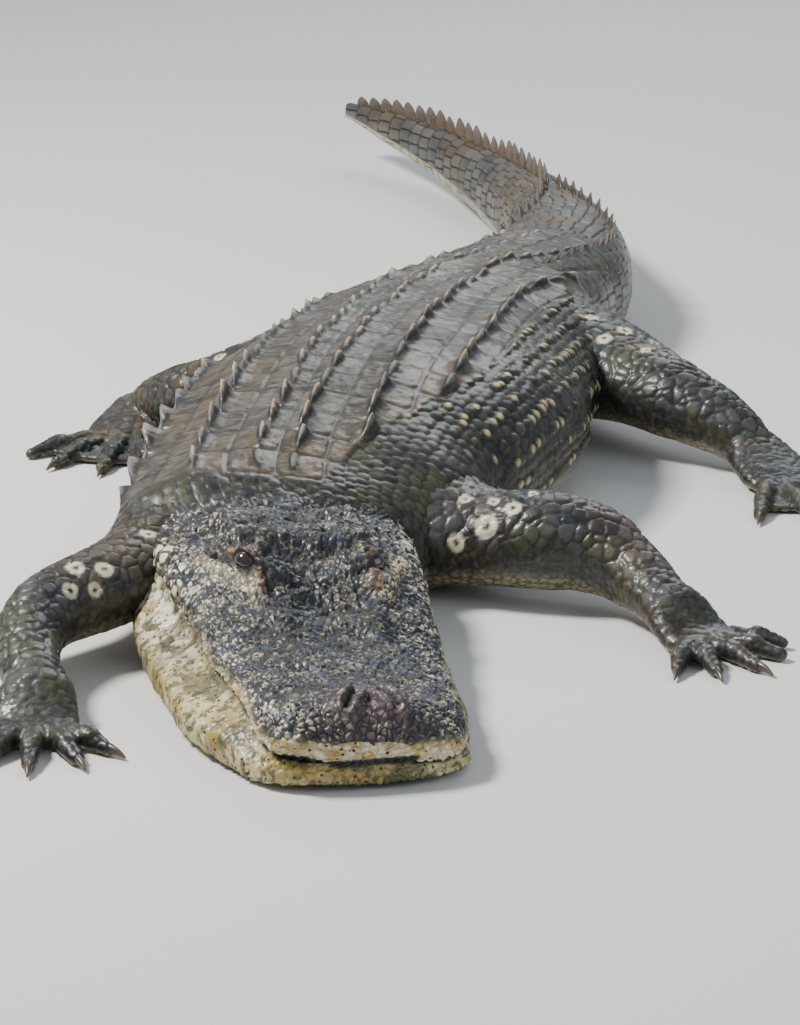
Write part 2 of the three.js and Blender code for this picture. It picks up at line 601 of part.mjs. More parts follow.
for (const [name, q] of Object.entries(FEET)) add(name, onFloor(buildFoot(q)), COLOR.limb, 0.5);

// Origin at the middle of the bounding box, on the floor
const box = new THREE.Box3().setFromObject(group);
const shift = new THREE.Vector3(-(box.min.x + box.max.x) / 2, -(box.min.y + box.max.y) / 2, -box.min.z);
group.children.forEach((m) => m.geometry.translate(shift.x, shift.y, shift.z));

export default group;
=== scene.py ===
"""American alligator at rest, life size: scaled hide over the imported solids, eyes, crest and claws."""
import math

import bpy
import numpy as np
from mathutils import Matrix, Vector


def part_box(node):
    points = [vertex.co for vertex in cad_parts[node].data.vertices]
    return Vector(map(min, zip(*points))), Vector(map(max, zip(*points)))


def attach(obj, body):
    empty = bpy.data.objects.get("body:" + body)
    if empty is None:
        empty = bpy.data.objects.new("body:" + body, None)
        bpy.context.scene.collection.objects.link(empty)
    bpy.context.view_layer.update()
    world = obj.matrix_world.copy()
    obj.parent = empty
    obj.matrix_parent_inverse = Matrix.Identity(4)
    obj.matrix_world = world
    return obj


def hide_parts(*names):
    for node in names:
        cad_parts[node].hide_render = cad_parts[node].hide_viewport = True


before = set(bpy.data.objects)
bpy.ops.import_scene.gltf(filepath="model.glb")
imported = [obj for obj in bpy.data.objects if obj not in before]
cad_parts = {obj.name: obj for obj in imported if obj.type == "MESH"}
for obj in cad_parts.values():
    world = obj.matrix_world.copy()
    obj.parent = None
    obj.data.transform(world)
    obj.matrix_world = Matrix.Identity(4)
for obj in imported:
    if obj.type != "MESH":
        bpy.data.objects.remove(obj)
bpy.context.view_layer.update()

# Driving sizes in millimetres. Jowl, keels and the reach of the plates differ a little from the solids
MM_PER_M = 1000.0
HEAD_LENGTH = 375.0
HEAD_END = 395.0
TOTAL_LENGTH = 2550.0
SNOUT_X = -19.0
HEAD_ROLL = 0.08
LEAN_CENTRE = 40.0
LEAN_STARTS = (4, 20)
LEAN_ENDS = (330, 440)
SINK = 1.6
FLOOR = 0.4
SCUTE_PITCH = 41.0
SCUTES_FROM = 621.0
CREST_FROM = 1176.0
CREST_PITCH = 33.0
CREST_JOINS = 1835.0
EYE_R = 11.0
EYE_X, EYE_LAT, EYE_Z = 0.70 * HEAD_LENGTH, 0.132 * HEAD_LENGTH, 92.0
# distance along the back, heading in degrees
HEADING = [
    (0, -12.3), (400, -12.3), (460, 5), (540, 18), (650, 22.5), (740, 19), (850, 13), (1000, 11.5),
    (1150, 16), (1280, 20), (1380, 18), (1500, 9), (1650, 0), (1800, -6), (1950, -12),
    (2100, -17), (2250, -22), (2400, -29), (2550, -35),
]
# distance along the back, half width, top height, underside height
BODY = [
    (395, 114, 104, -SINK), (430, 122, 111, -SINK), (500, 135, 124, -SINK), (560, 149, 138, -SINK),
    (620, 161, 150, -SINK), (700, 175, 159, -SINK), (800, 178, 162, -SINK), (900, 166, 158, -SINK),
    (1000, 148, 152, -SINK), (1080, 129, 148, -SINK), (1150, 114, 145, -SINK),
    (1220, 104, 142, -SINK), (1300, 97, 137, -SINK), (1400, 91, 130, -SINK), (1550, 77, 119, -SINK),
    (1700, 63, 108, -SINK), (1850, 51, 99, -SINK), (2000, 40, 91, 3), (2150, 30, 87, 12),
    (2300, 21, 87, 27), (2450, 12, 86, 46), (2550, 3.5, 82, 66),
]
# distance, sideways place of the ridge of the back
RIDGE = [
    (400, 8), (508, 3), (568, -5), (608, -11), (680, -26), (744, -36), (848, -44), (900, -47),
    (1012, -50), (1100, -42), (1172, -32), (1264, -24), (1428, -10), (1600, 0),
]
# inner edge, keel line and outer edge of the plates beside the ridge, and the keels' height
COLUMNS = [(0, 17, 40, 5.0), (40, 68, 98, 7.5), (98, 124, 148, 8.0), (148, 163, 178, 3.5)]
# fraction of head length, half width fraction, top height, mouth line height
HEAD = [
    (0, 0.085, 34, 22), (0.004, 0.11, 40, 22), (0.015, 0.15, 47, 22), (0.04, 0.186, 54, 22),
    (0.09, 0.206, 59, 25), (0.16, 0.211, 57, 33), (0.25, 0.217, 57, 36), (0.33, 0.228, 59, 36),
    (0.42, 0.240, 62, 37), (0.55, 0.250, 70, 43), (0.7, 0.262, 85, 50), (0.85, 0.280, 93, 57),
    (1.0, 0.296, 96, 62), (HEAD_END / HEAD_LENGTH, 0.296, 96, 63),
]
# fraction of head length, how far the side of the lower jaw stands out
JAW_SWELL = [
    (0.02, 6), (0.07, 11), (0.13, 18), (0.24, 31), (0.33, 34), (0.44, 30), (0.57, 31), (0.70, 29),
    (0.80, 24), (0.88, 18), (0.98, 10), (1.05, 5),
]
LEFT_SWELL = 0.4
# distance, how far the plates reach from the ridge on the animal's left; on its right
LEFT_REACH = [(430, 38), (500, 58), (560, 80), (620, 106), (700, 140), (760, 150)]
RIGHT_REACH = 166.0
# joints of each leg: x, y, z, half width, half height
LEGS = {
    "front_leg_right": [(-95, 520, 54, 50, 40), (-178, 415, 56, 44, 37), (-238, 318, 53, 36, 33),
                        (-282, 270, 46, 29, 30), (-289, 206, 34, 24, 24), (-278, 156, 26, 23, 21)],
    "front_leg_left": [(-10, 530, 50, 50, 38), (62, 468, 50, 46, 38), (120, 446, 54, 43, 41),
                       (162, 434, 50, 36, 37), (194, 402, 37, 27, 28), (216, 358, 27, 23, 21)],
    "hind_leg_right": [(20, 1090, 58, 58, 42), (-80, 1015, 60, 52, 40), (-160, 930, 60, 44, 38),
                       (-205, 950, 48, 36, 33), (-234, 980, 36, 28, 26), (-248, 996, 26, 25, 22)],
    "hind_leg_left": [(140, 1080, 74, 58, 46), (196, 1004, 72, 52, 45), (254, 915, 60, 43, 38),
                      (294, 880, 48, 35, 32), (320, 858, 36, 28, 26), (332, 846, 26, 25, 22)],
}
# heading of each foot, palm half width, half height and reach, side of the animal, toes, share of web
FORE_PALM = (34, 12, 50)
HIND_PALM = (38, 14, 78)
FEET = {
    "front_foot_right": dict(leg="front_leg_right", turn=2, palm=FORE_PALM, side=-1, web=0.25,
                             toes=[(-46, 40), (-22, 54), (0, 60), (24, 54), (48, 42)]),
    "front_foot_left": dict(leg="front_leg_left", turn=36, palm=FORE_PALM, side=1, web=0.25,
                            toes=[(-48, 42), (-24, 54), (0, 60), (22, 54), (46, 40)]),
    "hind_foot_right": dict(leg="hind_leg_right", turn=-20, palm=HIND_PALM, side=-1, web=0.7,
                            toes=[(-30, 66), (-10, 80), (11, 84), (32, 76)]),
    "hind_foot_left": dict(leg="hind_leg_left", turn=22, palm=HIND_PALM, side=1, web=0.7,
                           toes=[(-32, 76), (-11, 84), (10, 80), (30, 66)]),
}


# Seeds of the patterns
PLATE_SEED, BEAD_SEED, ROUGH_SEED, TAIL_SEED, BELLY_SEED = 5, 21, 31, 40, 51
FINE_SEED, CHEEK_SEED, LUMP_SEED, WAVE_SEED, SWELL_SEED = 61, 71, 77, 78, 79
LIMB_SEED, LIMB_FINE_SEED, WRINKLE_SEED, RING_SEED, CREST_SEED = 81, 91, 95, 97, 7
HASH_PRIMES = (374761393, 668265263, 2147483647, 974634777)
HASH_MIXES = ((13, 1274126177), (15, 2246822519))
HASH_BITS = 0xFFFFFFFF
FAR = 9.0


# Small numeric helpers
def lookup(rows, s, col):
    a = np.array(rows, float)
    return np.interp(s, a[:, 0], a[:, col])


def soft_lookup(rows, s, col, reach=25.0):
    s = np.asarray(s, float)
    return (lookup(rows, s - reach, col) + 2 * lookup(rows, s, col) + lookup(rows, s + reach, col)) / 4


def ease(t):
    return t * t * (3 - 2 * t)


def step(a, b, v):
    """Rises softly from 0 at a to 1 at b."""
    return ease(np.clip((v - a) / (b - a), 0, 1))


def fade(a, b, v):
    """Falls softly from 1 at a to 0 at b."""
    return 1 - step(a, b, v)


def hump(dx, dy, r):
    return np.exp(-(dx * dx + dy * dy) / (r * r))


def patch(x, y, spot):
    """Soft mound from 0 to 1. A spot is its place, the squeeze along x and y, and its radius."""
    at_x, at_y, squeeze_x, squeeze_y, radius = spot
    return hump((x - at_x) * squeeze_x, (y - at_y) * squeeze_y, radius)


def bell(d, width, power=2):
    return np.exp(-(d / width) ** power)


def split(v):
    """Whole part and fraction."""
    whole = np.floor(v)
    return whole, v - whole


def edge(fraction):
    """From 0 in the middle of a scale to 1 at its edge."""
    return np.abs(fraction - 0.5) * 2


def unit(v):
    return v / np.linalg.norm(v)


def hash01(i, j, seed, k=0):
    """Seeded number from 0 to 1 for each cell of a grid."""
    i, j, k = (np.asarray(v).astype(np.int64) for v in (i, j, k))
    h = sum(v * prime for v, prime in zip((i, j, k, seed), HASH_PRIMES)) & HASH_BITS
    for shift, factor in HASH_MIXES:
        h = ((h ^ (h >> shift)) * factor) & HASH_BITS
    return ((h ^ (h >> 16)) & 0xFFFFFF) / float(0xFFFFFF)


def cells2(u, v, seed, jitter, stagger):
    """Nearest and second nearest seeded point on a loose grid: distances, the cell's number and row."""
    iu, iv = np.floor(u), np.floor(v)
    f1 = np.full(u.shape, FAR)
    f2 = np.full(u.shape, FAR)
    tone = np.zeros(u.shape)
    row = np.zeros(u.shape)
    for a in (-1, 0, 1):
        for b in (-1, 0, 1):
            cu, cv = iu + a, iv + b
            pu = cu + 0.5 + jitter * (hash01(cu, cv, seed) - 0.5) + stagger * (np.mod(cv, 2) - 0.5)
            pv = cv + 0.5 + jitter * (hash01(cu, cv, seed + 7) - 0.5)
            d = np.hypot(u - pu, v - pv)
            near = d < f1
            f2 = np.where(near, f1, np.minimum(f2, d))
            f1 = np.where(near, d, f1)
            tone = np.where(near, hash01(cu, cv, seed + 13), tone)
            row = np.where(near, cv, row)
    return f1, f2, tone, row


def cells3(p, seed, jitter=0.8):
    """As cells2, in space and without the row."""
    base = np.floor(p)
    f1 = np.full(len(p), FAR)
    f2 = np.full(len(p), FAR)
    tone = np.zeros(len(p))
    for a in (-1, 0, 1):
        for b in (-1, 0, 1):
            for c in (-1, 0, 1):
                cell = base + (a, b, c)
                at = cell + 0.5
                for k in range(3):
                    at[:, k] += jitter * (hash01(cell[:, 0], cell[:, 1], seed + k, cell[:, 2]) - 0.5)
                d = np.linalg.norm(p - at, axis=1)
                near = d < f1
                f2 = np.where(near, f1, np.minimum(f2, d))
                f1 = np.where(near, d, f1)
                tone = np.where(near, hash01(cell[:, 0], cell[:, 1], seed + 9, cell[:, 2]), tone)
    return f1, f2, tone


def noise3(p, seed):
    """Smooth value noise from 0 to 1, one unit between its grid points."""
    base = np.floor(p)
    f = ease(p - base)
    out = np.zeros(p.shape[:-1])
    for a in (0, 1):
        for b in (0, 1):
            for c in (0, 1):
                w = (f[..., 0] if a else 1 - f[..., 0]) * (f[..., 1] if b else 1 - f[..., 1])
                w = w * (f[..., 2] if c else 1 - f[..., 2])
                out += w * hash01(base[..., 0] + a, base[..., 1] + b, seed, base[..., 2] + c)
    return out


def fractal(p, seed, octaves=3):
    total, gain = 0, 0.5
    for k in range(octaves):
        total = total + gain * noise3(p * 2 ** k, seed + k)
        gain /= 2
    return total / (1 - 0.5 ** octaves)


# Line of the back in plan
BACK_STEP = 5.0
line_s = np.arange(0, TOTAL_LENGTH + 2 * BACK_STEP, BACK_STEP)
line_h = np.radians(lookup(HEADING, line_s, 1))
line_x = SNOUT_X + np.concatenate([[0], np.cumsum(np.sin(line_h[:-1]) * BACK_STEP)])
line_y = np.concatenate([[0], np.cumsum(np.cos(line_h[:-1]) * BACK_STEP)])


def place(s, lat, z):
    """Point beside the back, in millimetres before the shift to the frame's origin. The head leans."""
    x, y, h = (np.interp(s, line_s, v) for v in (line_x, line_y, line_h))
    roll = HEAD_ROLL * fade(*LEAN_ENDS, s) * step(*LEAN_STARTS, z)
    side = lat + (z - LEAN_CENTRE) * roll
    return np.stack([x + side * np.cos(h), y - side * np.sin(h), z - lat * roll], -1)


def to_back(p):
    """Distance along the back and sideways offset of points in millimetres."""
    fine = np.arange(0, TOTAL_LENGTH, 2 * BACK_STEP)
    x, y, h = (np.interp(fine, line_s, v) for v in (line_x, line_y, line_h))
    best = np.argmin((p[:, 0:1] - x) ** 2 + (p[:, 1:2] - y) ** 2, axis=1)
    dx, dy, hh = p[:, 0] - x[best], p[:, 1] - y[best], h[best]
    return fine[best] + dx * np.sin(hh) + dy * np.cos(hh), dx * np.cos(hh) - dy * np.sin(hh)


eye_low, eye_high = (np.array(v) * MM_PER_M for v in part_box("eye_right"))
SHIFT = (eye_low + eye_high) / 2 - place(EYE_X, -EYE_LAT, EYE_Z)
SHIFT[2] = 0


def to_metres(p):
    return (np.asarray(p, float) + SHIFT) / MM_PER_M


# Meshes from arrays
def link_mesh(name, mesh):
    mesh.polygons.foreach_set("use_smooth", np.full(len(mesh.polygons), True))
    obj = bpy.data.objects.new(name, mesh)
    bpy.context.scene.collection.objects.link(obj)
    return obj


def set_masks(mesh, masks):
    for key, values in masks.items():
        layer = mesh.attributes.new(key, "FLOAT", "POINT")
        layer.data.foreach_set("value", np.asarray(values, np.float32).ravel())


def new_mesh(name, verts, faces, masks):
    """Object from arrays of points in millimetres and faces with the same number of corners."""
    mesh = bpy.data.meshes.new(name)
    faces = np.asarray(faces, np.int32)
    mesh.vertices.add(len(verts))
    mesh.vertices.foreach_set("co", to_metres(verts).astype(np.float32).ravel())
    mesh.loops.add(faces.size)
    mesh.loops.foreach_set("vertex_index", faces.ravel())
    mesh.polygons.add(len(faces))
    mesh.polygons.foreach_set("loop_start", np.arange(0, faces.size, faces.shape[1], dtype=np.int32))
    mesh.update(calc_edges=True)
    set_masks(mesh, masks)
    return link_mesh(name, mesh)


def mixed_mesh(name, verts, faces, masks):
    """Object from points in millimetres and faces of any kind."""
    mesh = bpy.data.meshes.new(name)
    mesh.from_pydata(to_metres(verts).tolist(), [], faces)
    set_masks(mesh, masks)
    return link_mesh(name, mesh)


def ring_faces(rows, cols):
    """Quads of a grid that closes on itself across the columns."""
    i, j = np.meshgrid(np.arange(rows - 1), np.arange(cols), indexing="ij")
    a, b = i * cols + j, i * cols + (j + 1) % cols
    return np.stack([a, a + cols, b + cols, b], -1).reshape(-1, 4)


def grid_normals(p):
    ds = np.gradient(p, axis=0)
    dt = np.roll(p, -1, axis=1) - np.roll(p, 1, axis=1)
    n = np.cross(dt, ds)
    n /= np.linalg.norm(n, axis=-1, keepdims=True) + 1e-9
    centre = p.mean(axis=1, keepdims=True)
    if ((p - centre) * n).sum() < 0:
        n = -n
    return n


# Cross sections of the body and head
TOP_COLUMNS, LOW_COLUMNS = 140, 66
TOP_SAMPLES, LOW_SAMPLES, HEAD_SAMPLES = 240, 160, 220
WIDEST = 0.46
ROUND_TOP, ROUND_LOW = 2.3, 3.0
SPLIT_ANGLE = -math.radians(12)


def resample(lat, z, count):
    """Evenly spaced points along each row's curve."""
    length = np.cumsum(np.hypot(np.diff(lat, axis=1), np.diff(z, axis=1)), axis=1)
    length = np.concatenate([np.zeros((len(lat), 1)), length], axis=1)
    t = np.linspace(0, 1, count)
    out = np.zeros((len(lat), count, 2))
    for k in range(len(lat)):
        q = t * length[k, -1]
        out[k, :, 0] = np.interp(q, length[k], lat[k])
        out[k, :, 1] = np.interp(q, length[k], z[k])
    return out


def trunk_size(s):
    """Half width, top, underside and widest height of neck, trunk and tail."""
    w, t, b = (soft_lookup(BODY, s, k) for k in (1, 2, 3))
    return w, t, b, b + (t - b) * WIDEST


def trunk_half(s):
    """Half sections of neck, trunk and tail, from the middle of the back to the middle of the belly."""
    w, t, b, zc = (v[:, None] for v in trunk_size(s))
    top = np.linspace(math.pi / 2, SPLIT_ANGLE, TOP_SAMPLES)[None, :]
    low = np.linspace(SPLIT_ANGLE, -math.pi / 2, LOW_SAMPLES)[None, :]
    parts = []
    for th in (top, low):
        c, d = np.maximum(np.cos(th), 0), np.sin(th)
        n = np.where(d > 0, ROUND_TOP, ROUND_LOW)
        h = np.where(d > 0, t - zc, zc - b)
        parts.append((w * c ** (2 / n), zc + h * np.sign(d) * np.abs(d) ** (2 / n)))
    return resample(*parts[0], TOP_COLUMNS), resample(*parts[1], LOW_COLUMNS)


def segment_distance(x, a, start, end):
    """Distance in plan to a line between two points, and the place along it from 0 to 1."""
    dx, dy = end[0] - start[0], end[1] - start[1]
    t = np.clip(((x - start[0]) * dx + (a - start[1]) * dy) / (dx * dx + dy * dy), 0, 1)
    return np.hypot(x - start[0] - t * dx, a - start[1] - t * dy), t


# Lines of the face in plan: two ends as distance from the snout and offset from the middle, half width,
# and height over the plain head
UPPER_LID = ((228, 44), (292, 58), 4.6, 4.6)
LOWER_LID = ((222, 51), (296, 80), 6.5, 4.0)
LID_CREASE = ((250, 53), (296, 68), 5.0, -3.0)
EAR_SLIT = ((306, 70), (356, 74), 1.6, -1.6)
NOSTRIL = ((15, 18.5), (31, 9.5), 2.0, -2.6)
SNOUT_RIDGE = ((110, 26), (214, 44), 9.0, 3.5)
UPPER_LID_THINS, LOWER_LID_THINS = 0.4, 0.2
# raised rims beside two of the lines: distance from the line, half width, height
NOSTRIL_RIM = (5.2, 3.6, 4.2)
EAR_RIM = (5, 3.5, 1.6)
EAR_SHADE, PIT_SHADE = 0.8, 0.9
# pits of the skull table: distance from the snout, side offset, radius
TABLE_PITS = [(332, -26, 8), (350, 4, 8), (352, 28, 7), (350, 46, 4.5), (318, -44, 4), (312, 22, 4)]
PIT_LONG, PIT_GAIN, PIT_DEPTH = 0.75, 1.3, 6.0


def face_lines(x, lat):
    """Height over the plain head, and masks of upper lid, lower lid, painted shade in creases, slits and
    pits, and nostril rims.
    """
    a = np.abs(lat)
    lines = (UPPER_LID, LOWER_LID, LID_CREASE, EAR_SLIT, NOSTRIL)
    near = [segment_distance(x, a, *line[:2]) for line in lines]
    lid_up, lid_low, crease, ear, nose = (bell(d, line[2]) for (d, _), line in zip(near, lines))
    lid_low = lid_low * (1 - LOWER_LID_THINS * near[1][1])
    pits = sum(hump((x - px) * PIT_LONG, lat - pa, pr) for px, pa, pr in TABLE_PITS)
    pits = np.clip(PIT_GAIN * pits, 0, 1)
    marks = (lid_up * (1 - UPPER_LID_THINS * near[0][1]), lid_low, crease, ear, nose)
    high = sum(line[3] * mark for line, mark in zip(lines, marks)) - PIT_DEPTH * pits
    ear_rim, nose_rim = (bell(near[k][0] - rim[0], rim[1]) for k, rim in ((3, EAR_RIM), (4, NOSTRIL_RIM)))
    high = high + NOSTRIL_RIM[2] * nose_rim + EAR_RIM[2] * ear_rim
    return high, lid_up, lid_low, np.clip(crease + EAR_SHADE * ear + nose + PIT_SHADE * pits, 0, 1), nose_rim


# Skull table: height, where it starts and ends in head lengths, half width, and its softened edge
TABLE_TOP, DOME_TOP = 108.0, 107.0
TABLE_STARTS, TABLE_ENDS = (0.74, 0.82), (0.985, 1.02)
TABLE_HALF, TABLE_WIDENS = 0.125, 0.03
TABLE_EDGE = (-6, 5)
TABLE_DIP, TABLE_DIP_REACH = 4, 60
EYE_DOME = (EYE_X, EYE_LAT - 8, 1, 1.35, 26)
# mound at each nostril, swelling before each eye and hollow between them: spot, height
SNOUT_FORMS = [
    ((25, 15, 1, 1, 17), 8.5),
    ((0.52 * HEAD_LENGTH, 0.09 * HEAD_LENGTH, 1, 1, 26), 4),
    ((0.6 * HEAD_LENGTH, 0, 0.7, 1.6, 30), -5),
]


def head_relief(x, lat, base):
    """Height of skull table, eye domes, nostril mounds and the hollows of the snout."""
    f = x / HEAD_LENGTH
    a = np.abs(lat)
    table = step(*TABLE_STARTS, f) * fade(*TABLE_ENDS, f)
    rim = (TABLE_HALF + TABLE_WIDENS * f) * HEAD_LENGTH
    inside = fade(rim + TABLE_EDGE[0], rim + TABLE_EDGE[1], a)
    z = base + (TABLE_TOP - TABLE_DIP * (1 - a / TABLE_DIP_REACH) - base) * table * inside
    z = np.maximum(z, base + (DOME_TOP - base) * patch(x, a, EYE_DOME))
    for spot, high in SNOUT_FORMS:
        z = z + high * patch(x, a, spot)
    return z


MOUTH_FOLD, FOLD_ENDS = 6.0, (0.98, 1.1)
# lips: share of the fold that each point goes inwards, height from the mouth line
UPPER_LIP = [(0.1, 2.2), (0.35, 0.8), (1, 0.1)]
LOWER_LIP = [(1, -0.1), (0.4, -0.9), (0.1, -2.4)]
LIP_HIGH = 4
# powers of the curves of the sections
HEAD_SIDE, HEAD_CROWN, JAW_SIDE, JAW_ROUNDING = 0.62, 0.88, 0.79, 2.2
JAW_ROUND_FROM = 0.7
JAW_INSET, JAW_INSET_ENDS = 0.01, (0.1, 0.4)
CHIN_RISE, CHIN_ENDS = 7, (0, 0.1)
THROAT_RISE, THROAT_STARTS = 4, (0.85, 1.05)


def head_half(s, side):
    """Half sections of the head: upper jaw to the mouth line, then lip, lower jaw and chin."""
    f = s / HEAD_LENGTH
    w, t, m = (lookup(HEAD, f, k)[:, None] * size for k, size in ((1, HEAD_LENGTH), (2, 1), (3, 1)))
    th = np.linspace(math.pi / 2, 0, HEAD_SAMPLES)[None, :]
    c, d = np.maximum(np.cos(th), 0), np.maximum(np.sin(th), 0)
    lat = w * c ** HEAD_SIDE
    z = head_relief(s[:, None], lat, m + LIP_HIGH + (t - m - LIP_HIGH) * d ** HEAD_CROWN)
    fold = MOUTH_FOLD * fade(*FOLD_ENDS, f)[:, None]
    lip_lat = [w - share * fold for share, _ in UPPER_LIP]
    lip_z = [m + rise for _, rise in UPPER_LIP]
    top = resample(np.concatenate([lat] + lip_lat, 1), np.concatenate([z] + lip_z, 1), TOP_COLUMNS)
    w_top = w - JAW_INSET * fade(*JAW_INSET_ENDS, f)[:, None] * HEAD_LENGTH
    swell = (lookup(JAW_SWELL, f, 1) * (1 if side < 0 else LEFT_SWELL))[:, None]
    b = (-SINK + CHIN_RISE * fade(*CHIN_ENDS, f) + THROAT_RISE * step(*THROAT_STARTS, f))[:, None]
    th = np.linspace(0, math.pi / 2, LOW_SAMPLES)[None, :]
    k = np.sin(th) ** JAW_SIDE
    turn = np.clip((k - JAW_ROUND_FROM) / (1 - JAW_ROUND_FROM), 0, 1) ** JAW_ROUNDING
    jaw_lat = (w_top + swell * step(0, 0.5, k)) * np.maximum(1 - turn, 0) ** (1 / JAW_ROUNDING)
    jaw_z = m - LIP_HIGH - (m - LIP_HIGH - b) * k
    lip_lat = [out - share * fold for out, (share, _) in zip((w, w_top, w_top), LOWER_LIP)]
    lip_z = [m + rise for _, rise in LOWER_LIP]
    low = resample(np.concatenate(lip_lat + [jaw_lat], 1), np.concatenate(lip_z + [jaw_z], 1), LOW_COLUMNS)
    return top, low


HEAD_BLEND, BLEND_MARGIN, HEAD_STOP = (352, 440), 5, 400
# rows of points along the back: from, to, pitch
ROW_PITCH = [(0.6, 6, 0.22), (6, 26, 0.8), (26, 400, 1.5), (400, 1180, 2.2), (1180, TOTAL_LENGTH - 2, 3.4)]


def half_grid(s, side):
    """Half sections of the whole body, and each point's distance round the section from the back."""
    top, low = trunk_half(np.maximum(s, HEAD_END))
    near = s < HEAD_BLEND[1] + BLEND_MARGIN
    h_top, h_low = head_half(np.minimum(s[near], HEAD_STOP), side)
    mix = step(*HEAD_BLEND, s[near])[:, None, None]
    top[near] = h_top * (1 - mix) + top[near] * mix
    low[near] = h_low * (1 - mix) + low[near] * mix
    half = np.concatenate([top, low[:, 1:]], axis=1)
    half[:, 0, 0] = 0
    half[:, -1, 0] = 0
    edges = np.hypot(*np.moveaxis(np.diff(half, axis=1), 2, 0))
    girth = np.concatenate([np.zeros((len(s), 1)), np.cumsum(edges, 1)], 1)
    return half, girth


def body_grid():
    """Rows of points: distance, side offset, girth, height over the mouth line, column and height."""
    s = np.concatenate([np.arange(*row) for row in ROW_PITCH])
    left, girth_l = half_grid(s, 1)
    right, girth_r = half_grid(s, -1)
    cols = left.shape[1]
    lat = np.concatenate([left[:, :, 0], -right[:, -2:0:-1, 0]], 1)
    z = np.concatenate([left[:, :, 1], right[:, -2:0:-1, 1]], 1)
    arc = np.concatenate([girth_l, -girth_r[:, -2:0:-1]], 1)
    lip_l, lip_r = girth_l[:, TOP_COLUMNS - 1:TOP_COLUMNS], girth_r[:, TOP_COLUMNS - 1:TOP_COLUMNS]
    over_mouth = np.concatenate([lip_l - girth_l, lip_r - girth_r[:, -2:0:-1]], 1)
    col = np.concatenate([np.arange(cols), np.arange(cols - 2, 0, -1)]) + 0 * arc
    dist = s[:, None] + 0 * lat
    return dist, lat, arc, over_mouth, col, z


def leg_line(points, per=3):
    """The rounded centre line through a leg's joints: rows of x, y, z, half width, half height."""
    p = np.array(points, float)
    xyz = np.vstack([2 * p[0, :3] - p[1, :3], p[:, :3], 2 * p[-1, :3] - p[-2, :3]])
    out = []
    total = (len(p) - 1) * per
    for i in range(total + 1):
        t = i / total * (len(p) - 1)
        k = min(len(p) - 2, int(t))
        f = t - k
        q = xyz[k:k + 4]
        dt = [max(np.linalg.norm(q[a + 1] - q[a]) ** 0.5, 1e-4) for a in range(3)]
        t1 = ((q[1] - q[0]) / dt[0] - (q[2] - q[0]) / (dt[0] + dt[1]) + (q[2] - q[1]) / dt[1]) * dt[1]
        t2 = ((q[2] - q[1]) / dt[1] - (q[3] - q[1]) / (dt[1] + dt[2]) + (q[3] - q[2]) / dt[2]) * dt[1]
        at = (q[1] + t1 * f + (-3 * q[1] + 3 * q[2] - 2 * t1 - t2) * f ** 2
              + (2 * q[1] - 2 * q[2] + t1 + t2) * f ** 3)
        out.append(np.concatenate([at, p[k, 3:] * (1 - ease(f)) + p[k + 1, 3:] * ease(f)]))
    return np.array(out)


LEG_LINES = {name: leg_line(points) for name, points in LEGS.items()}


def leg_distance(p, name):
    """Rough distance from points to a leg's surface, negative inside."""
    rows = LEG_LINES[name]
    best = np.full(len(p), 1e9)
    for a, b in zip(rows[:-1], rows[1:]):
        ab = b[:3] - a[:3]
        t = np.clip(((p - a[:3]) @ ab) / (ab @ ab), 0, 1)
        r = (a[3] + a[4]) / 2 * (1 - t) + (b[3] + b[4]) / 2 * t
        best = np.minimum(best, np.linalg.norm(p - a[:3] - t[:, None] * ab, axis=1) - r)
    return best


def body_distance(s, lat, z):
    """Rough distance from points to the trunk's surface, negative inside."""
    w, t, b, zc = trunk_size(s)
    dz = z - zc
    n = np.where(dz > 0, ROUND_TOP, ROUND_LOW)
    h = np.where(dz > 0, t - zc, zc - b)
    f = ((np.abs(lat) / w) ** n + (np.abs(dz) / h) ** n) ** (1 / n)
    return (f - 1) / np.maximum(f, 1e-3) * np.hypot(lat, dz)


FILLET = 62.0


def fillet(d):
    """How far two surfaces at distance d swell to meet each other in a soft fold."""
    return FILLET / 4 * np.clip(1 - np.maximum(d, 0) / FILLET, 0, 1) ** 2


# Relief of the hide
PLATES_START, PLATES_END, PLATES_WIDE, PLATES_SOFT = (426, 446), (1380, 1430), 0.93, 3
PLATE_SHIFT = 0.10
PLATE_GRAIN, PLATE_RISE, PLATE_ROUGH, PLATE_TILT = 7.0, 1.2, 2.4, 0.6
# distance, share of the keels' full height
KEEL_SIZE = [(400, 0.4), (450, 0.9), (520, 1.5), (640, 1.2), (760, 1.0), (1200, 0.8), (1400, 0.5)]
KEEL_START, KEEL_RISES, KEEL_DROPS = 0.22, (0.05, 0.72), (0.78, 0.98)
KEEL_HALF, KEEL_FOOT_HALF, KEEL_FOOT_HIGH = 3.6, 11.0, 0.4
KEEL_SWAY, KEEL_SLANT, KEEL_ROUGH = 6.0, 3.0, 0.8
KEEL_LEAST, KEEL_SPREAD = 0.55, 0.9
OUTER_KEELS, OUTER_KEELS_LOWER = (0.60, 0.85), 0.35
TALL_COLUMN, TALL_KEELS = 2, 1.7


